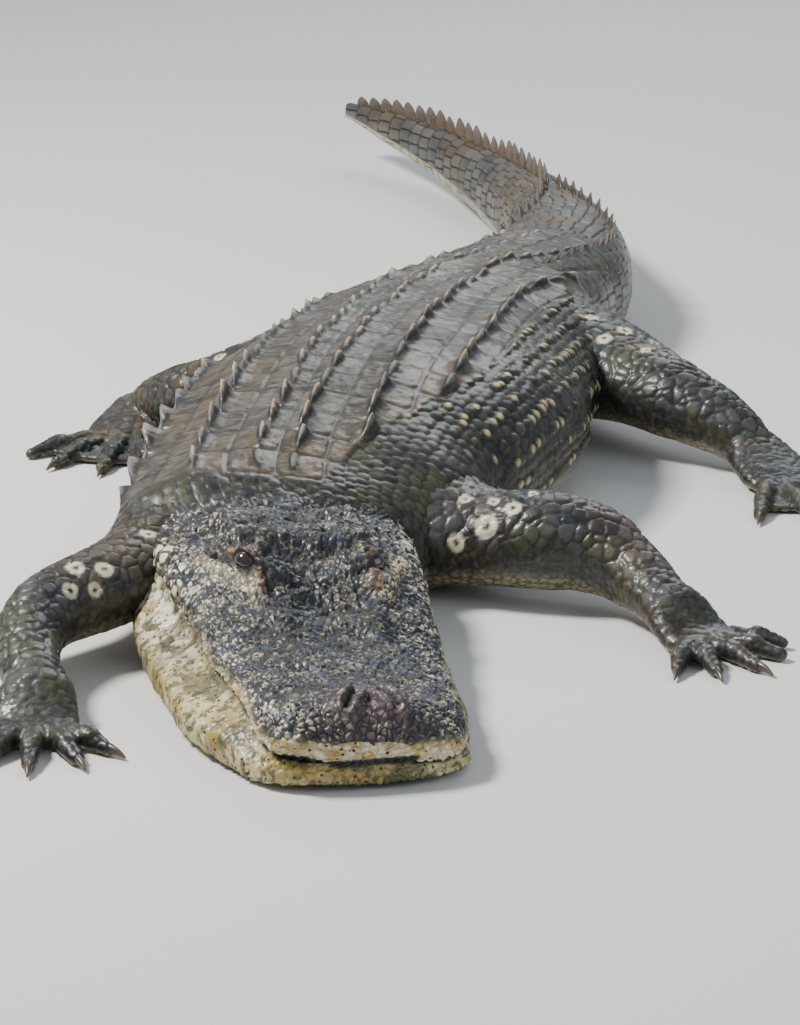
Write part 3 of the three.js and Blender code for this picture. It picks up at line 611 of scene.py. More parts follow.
def back_plates(s, lat, p):
    """Keeled plates of the back: height, cover, plate mask, keel and tone."""
    off = lat - lookup(RIDGE, s, 1)
    a = np.abs(off)
    rows = np.array(COLUMNS, float)
    col = np.clip(np.searchsorted(rows[:, 2], a), 0, len(rows) - 1)
    inner, keel_at, outer, keel_high = (rows[col, k] for k in range(4))
    side = col * np.sign(off)
    shift = PLATE_SHIFT * (hash01(side, 0 * side, PLATE_SEED) - 0.5)
    cell, fs = split((s - SCUTES_FROM) / SCUTE_PITCH + 0.5 + shift)
    tone = hash01(cell, side, PLATE_SEED + 3)
    across = np.abs(a - (inner + outer) / 2) / ((outer - inner) / 2)
    plate = fade(0.88, 0.99, (across ** 6 + edge(fs) ** 6) ** (1 / 6))
    sway = KEEL_SWAY * (hash01(cell, side, PLATE_SEED + 5) - 0.5) + KEEL_SLANT * (fs - 0.5)
    from_keel = np.abs(a - keel_at - sway)
    half_width = soft_lookup(BODY, np.maximum(s, HEAD_END), 1)
    rise = (KEEL_START + (1 - KEEL_START) * step(*KEEL_RISES, fs)) * fade(*KEEL_DROPS, fs)
    keel = bell(from_keel, KEEL_HALF, 1.5) * rise
    foot = bell(from_keel, KEEL_FOOT_HALF) * rise
    size = 1 - OUTER_KEELS_LOWER * step(*OUTER_KEELS, np.abs(lat) / half_width)
    size = lookup(KEEL_SIZE, s, 1) * size * np.where((off < 0) & (col == TALL_COLUMN), TALL_KEELS, 1.0)
    high = keel_high * (KEEL_LEAST + KEEL_SPREAD * tone) * size
    rough = fractal(p / PLATE_GRAIN, ROUGH_SEED, 4) - 0.5
    height = plate * (PLATE_RISE + PLATE_ROUGH * rough + PLATE_TILT * fs)
    height = height + keel * high * (1 + KEEL_ROUGH * rough) + foot * high * KEEL_FOOT_HIGH
    widest = np.where(off > 0, lookup(LEFT_REACH, s, 1), RIGHT_REACH)
    reach = np.minimum(widest, PLATES_WIDE * half_width - np.sign(off) * lookup(RIDGE, s, 1))
    along = step(*PLATES_START, s) * fade(*PLATES_END, s)
    return height, along * fade(reach - PLATES_SOFT, reach + PLATES_SOFT, a), plate, keel, tone


BEAD_LONG, BEAD_WIDE, BEAD_ROUND = 11.5, 10.5, 0.56
BEAD_RISE, LARGE_BEAD_RISE = 1.4, 2.4
LARGE_BEADS_START, BEAD_HIGHLIGHTS_START = (560, 660), (560, 640)


def flank_beads(s, arc):
    """Rows of rounded scales along the flank: height, mask, tone, and a painted highlight on the tops of some
    large beads.
    """
    f1, f2, tone, row = cells2(s / BEAD_LONG, arc / BEAD_WIDE, BEAD_SEED, jitter=0.45, stagger=0.5)
    dome = np.sqrt(np.clip(1 - (f1 / BEAD_ROUND) ** 2, 0, 1))
    mask = step(0.02, 0.26, f2 - f1) * step(0.0, 0.4, dome)
    large = (np.mod(row, 2) == 0) * step(0.25, 0.4, tone)
    height = dome * (BEAD_RISE + LARGE_BEAD_RISE * large * step(*LARGE_BEADS_START, s))
    # Painted highlight: pale tops on some of the large beads.
    tip = step(0.72, 0.97, dome) * large * step(0.62, 0.72, tone) * step(*BEAD_HIGHLIGHTS_START, s)
    return height, mask, tone, tip


TILE_LEAST, TILE_SPREAD, TILE_SHIFT = 12.0, 4.0, 0.9
TILE_RISE, TILE_UNEVEN, TILE_TILT = 1.2, 0.9, 0.8
SLAB_LONG, SLAB_WIDE, SLAB_RISE = 27.0, 30.0, 1.1


def tail_rings(s, arc):
    """Upright scales in rings as long as the crest's pitch: height, mask, tone."""
    ring, fr = split((s - CREST_FROM) / CREST_PITCH + 0.5)
    wide, shift = (hash01(ring, 0 * ring, TAIL_SEED + k) for k in (0, 1))
    tile, ft = split(arc / (TILE_LEAST + TILE_SPREAD * wide) + TILE_SHIFT * shift)
    mask = fade(0.80, 0.99, (edge(fr) ** 6 + edge(ft) ** 5) ** (1 / 5.5))
    tone = hash01(ring, tile, TAIL_SEED + 3)
    return mask * (TILE_RISE + TILE_UNEVEN * tone + TILE_TILT * fr), mask, tone


def belly_slabs(s, arc):
    """Smooth oblong scales in cross rows: height, mask, tone."""
    row, fr = split(s / SLAB_LONG)
    slab, ft = split(arc / SLAB_WIDE + 0.5 * np.mod(row, 2))
    mask = fade(0.86, 0.99, np.maximum(edge(fr), edge(ft)))
    return mask * SLAB_RISE, mask, hash01(row, slab, BELLY_SEED)


# Skin of the head: sizes and heights of scales, lumps and swellings
FINE_SCALE, CHEEK_SCALE, LUMP_SIZE, WAVE_SIZE, SWELL_SIZE = 5.6, 11.0, 11.0, 16.0, 30.0
FINE_RISE, CHEEK_RISE, LUMP_RISE, KNOB_RISE, BROW_RISE, SWELL_RISE = 1.5, 1.6, 2.0, 14.0, 6.0, 7.0
# where large scales start along the head, and how far they reach from the mouth line
CHEEK_STARTS, CHEEK_REACH = (200, 290), (24, 44)
JOWL_STARTS, JOWL_REACH = (170, 250), (30, 48)
# rough skin between the eyes and over them, smooth skin at the nostrils
KNOB, BROW, SMOOTH_NOSE = (232, 0, 0.62, 0.9, 34), (262, 40, 0.8, 1, 26), (22, 13, 1, 1, 17)
SMOOTHING = 0.85
# mouth gap, pale lip band, and the notch and swelling of the snout's right side
MOUTH_HALF, MOUTH_WIDENS, MOUTH_ENDS, MOUTH_DEPTH = 2.9, 2.6, (345, 385), 2.0
LIP_MIDDLE, LIP_HALF, LIP_FADES, LIP_PALES = 6, 7.5, (60, 300), 0.75
FRONT_LIP, FRONT_LIP_SLOPE, FRONT_LIP_ENDS = (14, 27), 0.4, (14, 36)
NOTCH, NOTCH_ENDS, NOTCH_DEPTH = (-52, 1, 1 / 12, 1 / 6.5, 1), (14, 24), 4.0
LIP_SWELLING, SWELLING_ENDS, SWELLING_RISE = (-57, 13, 1 / 9, 1 / 6.5, 1), (18, 30), 3.5
SNOUT_MAUVE, SNOUT_MAUVE_SHARE = (8, 0, 1, 1, 42), 0.75


def head_scales(s, lat, over_mouth, p):
    """Skin of the head: height and masks of scales, lids, lips, nostrils and folds."""
    flat = p.reshape(-1, 3)
    g1, g2, tone_h = (v.reshape(s.shape) for v in cells3(flat / FINE_SCALE, FINE_SEED, 0.9))
    k1, k2, tone_k = (v.reshape(s.shape) for v in cells3(flat / CHEEK_SCALE, CHEEK_SEED, 0.85))
    fine = step(0.03, 0.32, g2 - g1)
    coarse = step(0.02, 0.2, k2 - k1)
    upper = step(-2, 2, over_mouth)
    cheek = step(*CHEEK_STARTS, s) * fade(*CHEEK_REACH, over_mouth) * upper
    jowl = step(*JOWL_STARTS, s) * fade(*JOWL_REACH, -over_mouth) * (1 - upper)
    big = np.maximum(cheek, jowl)
    a = np.abs(lat)
    lines, lid_up, lid_low, dark, rim = (v * upper for v in face_lines(s, lat))
    knob, brow = patch(s, a, KNOB) * upper, patch(s, a, BROW) * upper
    lump = fractal(p / LUMP_SIZE, LUMP_SEED) - 0.5
    swell = fractal(p / SWELL_SIZE, SWELL_SEED) - 0.5
    ridge, _ = segment_distance(s, a, *SNOUT_RIDGE[:2])
    calm = 1 - SMOOTHING * patch(s, a, SMOOTH_NOSE)
    height = (fine * FINE_RISE * (1 - big) + coarse * CHEEK_RISE * big) * calm + lines
    height = height + lump * calm * (LUMP_RISE + KNOB_RISE * knob + BROW_RISE * brow)
    ridge_high = SNOUT_RIDGE[3] * bell(ridge, SNOUT_RIDGE[2])
    height = height + upper * (SWELL_RISE * swell * step(20, 80, s) + ridge_high)
    crevice = knob * step(0.0, -0.09, lump)
    wave = 3.0 * (fractal(p / WAVE_SIZE, WAVE_SEED) - 0.5)
    mouth = bell(over_mouth + 0.8 * wave, MOUTH_HALF + MOUTH_WIDENS * step(8, 30, s), 4)
    mouth = mouth * fade(*MOUTH_ENDS, s)
    band = over_mouth + 2.5 * wave
    lip = bell(band - LIP_MIDDLE, LIP_HALF) * upper * (1 - step(*LIP_FADES, s) * LIP_PALES)
    front = step(0, 1, over_mouth) * fade(*FRONT_LIP, band + FRONT_LIP_SLOPE * s) * fade(*FRONT_LIP_ENDS, s)
    lip = np.maximum(lip, front)
    notch = patch(lat, over_mouth, NOTCH) * fade(*NOTCH_ENDS, s)
    swelling = patch(lat, over_mouth, LIP_SWELLING) * fade(*SWELLING_ENDS, s)
    height = height + SWELLING_RISE * swelling - NOTCH_DEPTH * notch - MOUTH_DEPTH * mouth * upper
    rim = np.maximum(rim, SNOUT_MAUVE_SHARE * patch(s, lat, SNOUT_MAUVE) * upper * (1 - lip))
    mask = fine * (1 - big) + coarse * big
    tone = np.where(big > 0.5, tone_k, tone_h)
    # dark: painted shade in the lid creases, ear slits, nostrils, table pits, knob crevices, the mouth gap
    # and the notch.
    return height, dict(scale=mask, tone=tone, lip=np.maximum(lip, swelling), lid_up=lid_up, lid_low=lid_low,
                        dark=np.clip(dark + mouth + notch + crevice, 0, 1), rim=rim, cheek=cheek, jowl=jowl)


# Where the finishes of the body change, by distance along the back
TAIL_STARTS, BELLY_STARTS, HEAD_FINISH_ENDS, FILLET_STARTS = (1150, 1260), (395, 430), (398, 424), (385, 440)
UNDER_SOFT = 6


def hide_relief(dist, lat, arc, over_mouth, col, p):
    """Height of the scales over the base surface, and the masks that the finish reads."""
    under = step(TOP_COLUMNS - UNDER_SOFT, TOP_COLUMNS + UNDER_SOFT, col)
    h_plate, cover, plate, keel, tone_s = back_plates(dist, lat, p)
    h_bead, bead, tone_f, tip = flank_beads(dist, arc)
    h_tile, tile, tone_t = tail_rings(dist, arc)
    h_slab, slab, tone_b = belly_slabs(dist, arc)
    tail = step(*TAIL_STARTS, dist)
    belly = under * step(*BELLY_STARTS, dist)
    height = h_bead * (1 - tail) + h_tile * tail
    mask = bead * (1 - tail) + tile * tail
    tone = tone_f * (1 - tail) + tone_t * tail
    pairs = ((height, h_slab), (mask, slab), (tone, tone_b))
    height, mask, tone = (v * (1 - belly) + u * belly for v, u in pairs)
    height = height * (1 - cover) + h_plate * cover
    mask = mask * (1 - cover) + plate * cover
    tone = np.where(cover > 0.5, tone_s, tone)
    masks = dict(scale=mask, tone=tone, keel=keel * cover, tip=tip * (1 - tail) * (1 - belly) * (1 - cover),
                 head=fade(*HEAD_FINISH_ENDS, dist), shield=cover, tail=tail, belly=belly,
                 low=step(-1.0, 1.0, -over_mouth), run=dist / MM_PER_M, girth=arc / MM_PER_M)
    rows = dist[:, 0] < HEAD_FINISH_ENDS[1]
    h_head, face = head_scales(dist[rows], lat[rows], over_mouth[rows], p[rows])
    head = masks["head"][rows]
    height[rows] = height[rows] * (1 - head) + h_head * head
    for key, values in face.items():
        if key not in masks:
            masks[key] = np.zeros(dist.shape)
        masks[key][rows] = masks[key][rows] * (1 - head) + values * head
    return height, masks


# The open eye: directions from the eyeball's centre to its front and along its corners, as distance along
# the back, sideways and up
LID_AXIS, LID_ALONG = (-34.0, 42.0, 26.0), (12.0, 5.0, 0.0)
# opening in eyeball radii: half length, half height above and below; then where it can be seen at all
OPENING_LONG, OPENING_UP, OPENING_DOWN, FACING = 0.96, 0.56, 0.50, 0.2
LID_AT, LID_HALF, UPPER_RIM, LOWER_RIM = 1.2, 0.33, 2.6, 3.4
SKIN_RADIUS, HOLE_RADIUS = EYE_R + 0.8, EYE_R - 3.0
PULL_NEAR, PULL_FAR = (EYE_R * 1.15, EYE_R * 2.0), (EYE_R * 1.7, EYE_R * 2.4)


def eye_axes(side):
    """Centre of an eyeball, the way its opening faces, the line between its corners, and up."""
    centre = place(EYE_X, side * EYE_LAT, EYE_Z)
    axis, along = (place(EYE_X + x, side * (EYE_LAT + lat), EYE_Z + z) - centre
                   for x, lat, z in (LID_AXIS, LID_ALONG))
    axis = unit(axis)
    along = unit(along - axis * (along @ axis))
    up = np.cross(axis, along)
    return centre, axis, along, up * np.sign(up[2])


def open_eyes(p):
    """Pushes skin out into lids, and in where an eye is open. Masks of upper lid, lower lid, and painted
    shade in the opening.
    """
    masks = np.zeros((3, len(p)))
    for side in (-1, 1):
        centre, axis, along, up = eye_axes(side)
        v = p - centre
        d = np.linalg.norm(v, axis=1)
        near = np.where(d < PULL_FAR[1])[0]
        d = d[near]
        u = v[near] / d[:, None]
        facing = u @ axis
        x, y = (u @ along) / OPENING_LONG, u @ up
        high = y > 0
        lens = np.hypot(x, np.where(high, y / OPENING_UP, y / OPENING_DOWN))
        gap = fade(0.86, 1.0, lens) * (facing > FACING)
        lid = bell(lens - LID_AT, LID_HALF) * (facing > 0)
        target = SKIN_RADIUS + np.where(high, UPPER_RIM, LOWER_RIM) * lid
        pull = np.maximum(fade(*PULL_NEAR, d), step(0.75, 0.95, facing) * fade(*PULL_FAR, d))
        pull = pull * step(0.0, 0.35, facing)
        new_d = d * (1 - pull) + target * pull
        new_d = np.where(d < SKIN_RADIUS, np.maximum(new_d, SKIN_RADIUS), new_d)
        new_d = new_d * (1 - gap) + HOLE_RADIUS * gap
        p[near] = centre + u * new_d[:, None]
        rim = lid * (1 - gap) * step(0.2, 0.6, facing)
        opening = fade(1.0, 1.14, lens) * (facing > FACING)
        for row, mask in enumerate((rim * high, rim * ~high, opening)):
            masks[row, near] = np.maximum(masks[row, near], mask)
    return masks


FRONT_HALF, FRONT_RELIEF = 34, 0.8
# rings that close both ends: row of the grid, how far their middle lies beyond it, number of rings
END_CAPS = ((0, -1.2, 30), (-1, 2.0, 8))


def along_back(heading):
    return np.array([math.sin(heading), math.cos(heading), 0])


def snout_front(rings):
    """Scales and marks on the flat front of the snout, pushed forward by their height."""
    ahead = -along_back(line_h[0])
    across = np.array([-ahead[1], ahead[0], 0])
    lat = (rings - np.array([SNOUT_X, 0, 0])) @ across
    over_mouth = rings[..., 2] - HEAD[0][3]
    height, marks = head_scales(np.zeros(lat.shape), lat, over_mouth, rings)
    marks["low"] = step(-1.0, 1.0, -over_mouth)
    height = height * step(0, 6, FRONT_HALF - np.abs(lat))
    return rings + ahead * height[..., None] * FRONT_RELIEF, marks


def end_rings(ring, heading, push, steps):
    """Rings that shrink to a point, which lies beyond the middle of the first one."""
    centre, ahead = ring.mean(0), along_back(heading) * push
    shares = [k / steps for k in range(1, steps + 1)]
    return np.stack([centre + (ring - centre) * (1 - t) + ahead * math.sin(t * math.pi / 2) for t in shares])


def build_hide():
    """The skin of head, neck, trunk and tail in one piece."""
    dist, lat, arc, over_mouth, col, z = body_grid()
    base = place(dist, lat, z)
    relief, masks = hide_relief(dist, lat, arc, over_mouth, col, base)
    folds = [fillet(leg_distance(base.reshape(-1, 3), name)) for name in LEGS]
    relief = relief + np.max(folds, axis=0).reshape(dist.shape) * step(*FILLET_STARTS, dist)
    verts = (base + grid_normals(base) * relief[..., None]).reshape(-1, 3)
    masks = {key: values.ravel() for key, values in masks.items()}
    for key, mask in zip(("lid_up", "lid_low", "dark"), open_eyes(verts)):
        masks[key] = np.maximum(masks[key], mask)
    verts[:, 2] = np.maximum(verts[:, 2], FLOOR)
    rows, cols = dist.shape
    points, faces, count = [verts], [ring_faces(rows, cols)], len(verts)
    here, after = np.arange(cols), np.roll(np.arange(cols), -1)
    for row, push, steps in END_CAPS:
        start = row % rows * cols
        rings = end_rings(verts[start:start + cols], line_h[row], push, steps)
        added = {key: np.tile(values[start:start + cols], steps) for key, values in masks.items()}
        if row == 0:
            rings, marks = snout_front(rings)
            added.update({key: values.ravel() for key, values in marks.items()})
        masks = {key: np.concatenate([values, added[key]]) for key, values in masks.items()}
        points.append(rings.reshape(-1, 3))
        firsts = [start] + [count + k * cols for k in range(steps)]
        for last, now in zip(firsts[:-1], firsts[1:]):
            quad = np.stack([last + here, last + after, now + after, now + here], -1)
            faces.append(quad if row == 0 else quad[:, ::-1])
        count += steps * cols
    return new_mesh("hide", np.concatenate(points), np.concatenate(faces), masks)


# Limbs
ROUND_END_STEPS = (0.999, 0.92, 0.75, 0.5, 0.25)
WEB_HALF_THICK, WEB_HIGH = 2.6, 5.0
HEEL_DOWN, HEEL_AHEAD, HEEL_HIGH = 9, 8, 17
PALM_NARROWS, PALM_END_NARROWS, PALM_END_LONG = 0.86, 0.6, 7
# toes: share of the length, height and radius
TOE_STOPS = ((0, 9, 9), (0.28, 9.2, 7.4), (0.5, 10.5, 8.6), (0.78, 7.4, 6.6), (1, 5.5, 5.6))
TOE_ROOT_HIGH, TOE_ROOT_BACK, TOES_WIDE, CLAWED_TOES = 9, 8, 1.5, 3


def tube_rings(rows, n):
    """Closed tube along rows of x, y, z, half width, half height: points and faces."""
    p = rows[:, :3]
    d = np.gradient(p, axis=0)
    d /= np.linalg.norm(d, axis=1, keepdims=True)
    side = np.cross(d, [0, 0, 1.0])
    side /= np.linalg.norm(side, axis=1, keepdims=True) + 1e-9
    up = np.cross(side, d)
    th = np.linspace(0, 2 * math.pi, n, endpoint=False)
    ring = (p[:, None] + side[:, None] * (rows[:, 3, None] * np.cos(th))[..., None]
            + up[:, None] * (rows[:, 4, None] * np.sin(th))[..., None])
    verts = np.concatenate([ring.reshape(-1, 3), p[:1], p[-1:]])
    faces = [tuple(q) for q in ring_faces(len(p), n)]
    a, b = len(verts) - 2, len(verts) - 1
    last = (len(p) - 1) * n
    for j in range(n):
        faces.append((a, j, (j + 1) % n))
        faces.append((b, last + (j + 1) % n, last + j))
    return verts, faces


def rounded(points, n=14, per=6):
    """A tube with round ends through points with radii."""
    rows = leg_line([(*q, q[3]) for q in points], per)
    ends = []
    for at, inner in ((rows[0], rows[1]), (rows[-1], rows[-2])):
        d = unit(at[:3] - inner[:3])
        ends.append([np.concatenate([at[:3] + d * at[3] * t, at[3:] * math.sqrt(1 - t * t)])
                     for t in ROUND_END_STEPS])
    return tube_rings(np.vstack([ends[0], rows, ends[1][::-1]]), n)


def web_between(root_a, tip_a, root_b, tip_b, share):
    """Thin skin between two toes, along a share of their length."""
    far_a, far_b = root_a + (tip_a - root_a) * share, root_b + (tip_b - root_b) * share
    rows = []
    for u in np.linspace(0, 1, 5):
        lo, hi = root_a + (far_a - root_a) * u, root_b + (far_b - root_b) * u
        rows.append(np.concatenate([(lo + hi) / 2, [np.linalg.norm(hi - lo) / 2, WEB_HALF_THICK]]))
    rows = np.array(rows)
    rows[:, 2] = WEB_HIGH
    return tube_rings(rows, 12)


def foot_parts(name):
    """Palm, toes and webs of a foot, and the claws' places."""
    q = FEET[name]
    line = LEG_LINES[q["leg"]]
    end = line[-1]
    down = unit(end[:3] - line[-2, :3])
    turn = math.radians(q["turn"])
    ahead = np.array([math.sin(turn), -math.cos(turn), 0])
    across = np.array([-ahead[1], ahead[0], 0])
    half_width, half_height, reach = q["palm"]
    heel = end[:3] + down * HEEL_DOWN + ahead * HEEL_AHEAD
    heel[2] = max(heel[2], HEEL_HIGH)
    mid = np.array([heel[0], heel[1], half_height - SINK]) + ahead * reach * 0.5
    front = mid + ahead * reach * 0.5
    front[2] = 8 - SINK
    rings = [(line[-3, :3], line[-3, 3:] * 0.96), (end[:3], end[3:]), (heel, (half_width * PALM_NARROWS, 18)),
             (mid, (half_width, half_height)), (front, (half_width * PALM_NARROWS, 8)),
             (front + ahead * PALM_END_LONG, (half_width * PALM_END_NARROWS, 5))]
    parts = [tube_rings(np.array([np.concatenate([at, size]) for at, size in rings]), 24)]
    claws, toes = [], []
    count = len(q["toes"])
    clawed = range(count - CLAWED_TOES, count) if q["side"] < 0 else range(CLAWED_TOES)
    for i, (angle, length) in enumerate(q["toes"]):
        c, s = math.cos(math.radians(angle)), math.sin(math.radians(angle))
        toe = np.array([ahead[0] * c - ahead[1] * s, ahead[0] * s + ahead[1] * c, 0])
        root = front + across * (i / (count - 1) - 0.5) * half_width * TOES_WIDE - ahead * TOE_ROOT_BACK
        root[2] = TOE_ROOT_HIGH
        stops = [(*(root + toe * length * share)[:2], z, r) for share, z, r in TOE_STOPS]
        parts.append(rounded(stops))
        tip = np.array(stops[-1][:3])
        if i in clawed:
            claws.append((tip, toe))
        toes.append((root, tip))
    for (root_a, tip_a), (root_b, tip_b) in zip(toes[:-1], toes[1:]):
        parts.append(web_between(root_a, tip_a, root_b, tip_b, q["web"]))
    return parts, claws


VOXEL = 0.0022
EASE_SHARE, EASE_ROUNDS = 0.6, 7
LEG_RINGS, LEG_SIDES = 44, 40


def limb_surface(leg, foot):
    """One closed surface over leg and foot, evenly meshed."""
    line = LEG_LINES[leg]
    fine = np.linspace(0, len(line) - 1, LEG_RINGS)
    rows = np.stack([np.interp(fine, np.arange(len(line)), line[:, k]) for k in range(5)], 1)
    feet, claws = foot_parts(foot)
    verts, faces, count = [], [], 0
    for v, f in [tube_rings(rows, LEG_SIDES)] + feet:
        verts.append(v)
        faces += [tuple(i + count for i in t) for t in f]
        count += len(v)
    mesh = bpy.data.meshes.new(leg + "_form")
    mesh.from_pydata((np.concatenate(verts) / MM_PER_M).tolist(), [], faces)
    obj = bpy.data.objects.new(leg + "_form", mesh)
    bpy.context.scene.collection.objects.link(obj)
    even = obj.modifiers.new("even", "REMESH")
    even.mode = "VOXEL"
    even.voxel_size = VOXEL
    soften = obj.modifiers.new("soften", "SMOOTH")
    soften.factor = EASE_SHARE
    soften.iterations = EASE_ROUNDS
    graph = bpy.context.evaluated_depsgraph_get()
    done = obj.evaluated_get(graph).to_mesh()
    co = np.zeros(len(done.vertices) * 3, np.float32)
    no = np.zeros(len(done.vertices) * 3, np.float32)
    done.vertices.foreach_get("co", co)
    done.vertices.foreach_get("normal", no)
    quads = np.zeros(len(done.loops), np.int32)
    done.loops.foreach_get("vertex_index", quads)
    bpy.data.objects.remove(obj)
    normal = no.reshape(-1, 3).astype(float)
    normal /= np.linalg.norm(normal, axis=1, keepdims=True)
    return co.reshape(-1, 3).astype(float) * MM_PER_M, normal, quads.reshape(-1, 4), claws


LIMB_PLATE, LIMB_FINE, LIMB_WRINKLE = 13.0, 6.5, 9.0
LIMB_PLATE_RISE, LIMB_FINE_RISE, LIMB_WRINKLE_RISE = 1.7, 0.8, 1.2
OUTER_SIDE, UNDER_SIDE = (-0.2, 0.4), (-0.75, -0.35)
TOES_START, LAST_OF_LEG = (25, 47), 0.9
RING_STARTS, RING_ENDS, RING_DEPTH = (0.30, 0.52), (0.95, 1.25), 26
RING_WOBBLE, RING_WOBBLE_SIZE = 0.25, 6.0
# pale ring markings of each leg, at places measured from the photograph: x, y, z and radius
MARKS = {
    "front_leg_right": [(-258, 284, 79, 6.5), (-236, 290, 76, 6.5), (-260, 262, 68, 6), (-242, 273, 65, 5),
                        (-205, 350, 88, 6), (-180, 380, 92, 5)],
    "front_leg_left": [(73, 425, 71, 8.5), (95, 429, 86, 6.5), (78, 443, 88, 4.5), (50, 430, 57, 6),
                       (112, 446, 92, 4), (56, 452, 84, 5)],
    "hind_leg_right": [(-120, 965, 98, 6), (-150, 945, 96, 6), (-135, 925, 90, 5), (-98, 990, 100, 5),
                       (-172, 918, 88, 4.5)],
    "hind_leg_left": [(220, 962, 112, 7), (201, 947, 103, 6.5), (238, 923, 102, 4.5), (190, 985, 112, 5),
                      (246, 948, 98, 4)],
}


def ring_marks(p, normal, marks):
    """Mask of pale rings drawn on the skin round their centres."""
    mask = np.zeros(len(p))
    wobble = 1 + RING_WOBBLE * (fractal(p / RING_WOBBLE_SIZE, RING_SEED) - 0.5)
    for x, y, z, radius in marks:
        v = p - (x, y, z)
        deep = (v * normal).sum(1)
        d = np.linalg.norm(v - normal * deep[:, None], axis=1) * wobble / radius
        mask = np.maximum(mask, step(*RING_STARTS, d) * fade(*RING_ENDS, d) * (np.abs(deep) < RING_DEPTH))
    return mask


def build_limb(leg, foot):
    """Skin of a leg and its foot in one piece, and the claws' places."""
    p, normal, faces, claws = limb_surface(leg, foot)
    line = LEG_LINES[leg]
    s, lat = to_back(p)
    grow = fillet(body_distance(s, lat, p[:, 2])) * step(*FILLET_STARTS, s)
    near = np.argmin(((p[:, None] - line[None, :, :3]) ** 2).sum(-1), axis=1) / (len(line) - 1.0)
    toes = step(*TOES_START, np.linalg.norm(p - line[-1, :3], axis=1)) * (near > LAST_OF_LEG)
    f1, f2, tone_plate = cells3(p / LIMB_PLATE, LIMB_SEED, 0.6)
    g1, g2, tone_fine = cells3(p / LIMB_FINE, LIMB_FINE_SEED)
    big = step(0.02, 0.2, f2 - f1)
    small = step(0.02, 0.3, g2 - g1)
    fine = np.maximum(toes, fade(*OUTER_SIDE, normal[:, 2]))
    wrinkle = fractal(p / LIMB_WRINKLE, WRINKLE_SEED) - 0.5
    relief = big * LIMB_PLATE_RISE * (1 - fine) + small * LIMB_FINE_RISE * fine + wrinkle * LIMB_WRINKLE_RISE
    masks = dict(scale=big * (1 - fine) + small * fine, tone=np.where(fine > 0.5, tone_fine, tone_plate),
                 ring=ring_marks(p, normal, MARKS[leg]), belly=fade(*UNDER_SIDE, normal[:, 2]))
    p = p + normal * (relief + grow)[:, None]
    p[:, 2] = np.maximum(p[:, 2], FLOOR)
    return new_mesh(leg.replace("_leg", "_limb"), p, faces, masks), claws


# Crest, claws and eyes
BLADE_ROWS, BLADE_COLS, BLADE_ROOT = 14, 22, 5
CREST_MOST, CREST_END_GAP = 60, 18
CREST_TIGHTENS_AFTER, CREST_TIGHTENS = 22, 1.2
# length, greatest thickness, height of the first one and how much the height changes
JOINED_BLADE, PAIRED_BLADE = (40, 8, 24, -9), (36, 10, 8, 8)
BLADES_SHRINK, PAIRS_CLOSE, PAIR_LEAST, PAIR_SPREAD = (2250, 2540), 1500, 0.18, 0.62
OUTERMOST = 0.95


def on_back(s, u):
    """Point on the back at a distance and a share of the half width."""
    w, t, _, zc = (float(v) for v in trunk_size(s))
    return place(s, w * u, zc + (t - zc) * (1 - min(abs(u), 0.999) ** ROUND_TOP) ** (1 / ROUND_TOP))


def blade(s, u, length, thick, height, lean):
    """One upright scale of the tail's crest: flared foot, leaf shape, thin edge."""
    p = on_back(s, u)
    ds = unit(on_back(s + 4, u) - on_back(s - 4, u))
    du = unit(on_back(s, u + 0.02) - on_back(s, u - 0.02))
    n = np.cross(du, ds)
    up = unit(n * np.sign(n[2]) + np.array([0, 0, 1.0]))
    rows, cols = BLADE_ROWS, BLADE_COLS
    v = np.linspace(0, 1, rows)[:, None]
    th = np.linspace(0, 2 * math.pi, cols, endpoint=False)[None, :]
    half = length / 2 * (1.02 - v ** 2.2) ** 0.6
    shift = length * (0.10 + lean) * v ** 1.3
    girth = thick / 2 * ((1 - v) ** 1.4 * 0.8 + 0.22 * (1 - v ** 3) + 0.04)
    along = shift + half * np.sign(np.cos(th)) * np.abs(np.cos(th)) ** 0.8
    across = girth * np.sin(th)
    rise = -BLADE_ROOT + (height + BLADE_ROOT) * v
    q = p + ds * along[..., None] + du * across[..., None] + up * (rise + 0 * th)[..., None]
    verts = np.concatenate([q.reshape(-1, 3), [q[-1].mean(0) + up * 0.5]])
    top = len(verts) - 1
    last = (rows - 1) * cols
    faces = [tuple(t) for t in ring_faces(rows, cols)]
    faces += [(last + j, last + (j + 1) % cols, top) for j in range(cols)]
    return verts, faces, np.concatenate([(v + 0 * th).ravel(), [1.0]])


def crest_scales():
    """Place, side fraction, length, thickness and height of every upright scale."""
    items = []
    for i in range(CREST_MOST):
        s = CREST_FROM + i * CREST_PITCH - max(0, i - CREST_TIGHTENS_AFTER) * CREST_TIGHTENS
        if s > TOTAL_LENGTH - CREST_END_GAP:
            break
        w = float(soft_lookup(BODY, s, 1))
        if s > CREST_JOINS:
            length, thick, height, change = JOINED_BLADE
            height = height + change * float(step(*BLADES_SHRINK, s))
            items.append((s, 0, length, min(thick, w * 0.5), height))
            continue
        length, thick, height, change = PAIRED_BLADE
        height = height + change * float(step(CREST_FROM, CREST_JOINS, s))
        ridge = float(lookup(RIDGE, s, 1)) / w
        u = PAIR_LEAST + PAIR_SPREAD * (1 - float(step(PAIRS_CLOSE, CREST_JOINS, s)))
        for side in (-1, 1):
            items.append((s, min(OUTERMOST, max(-OUTERMOST, ridge + side * u)), length, thick, height))
    return items


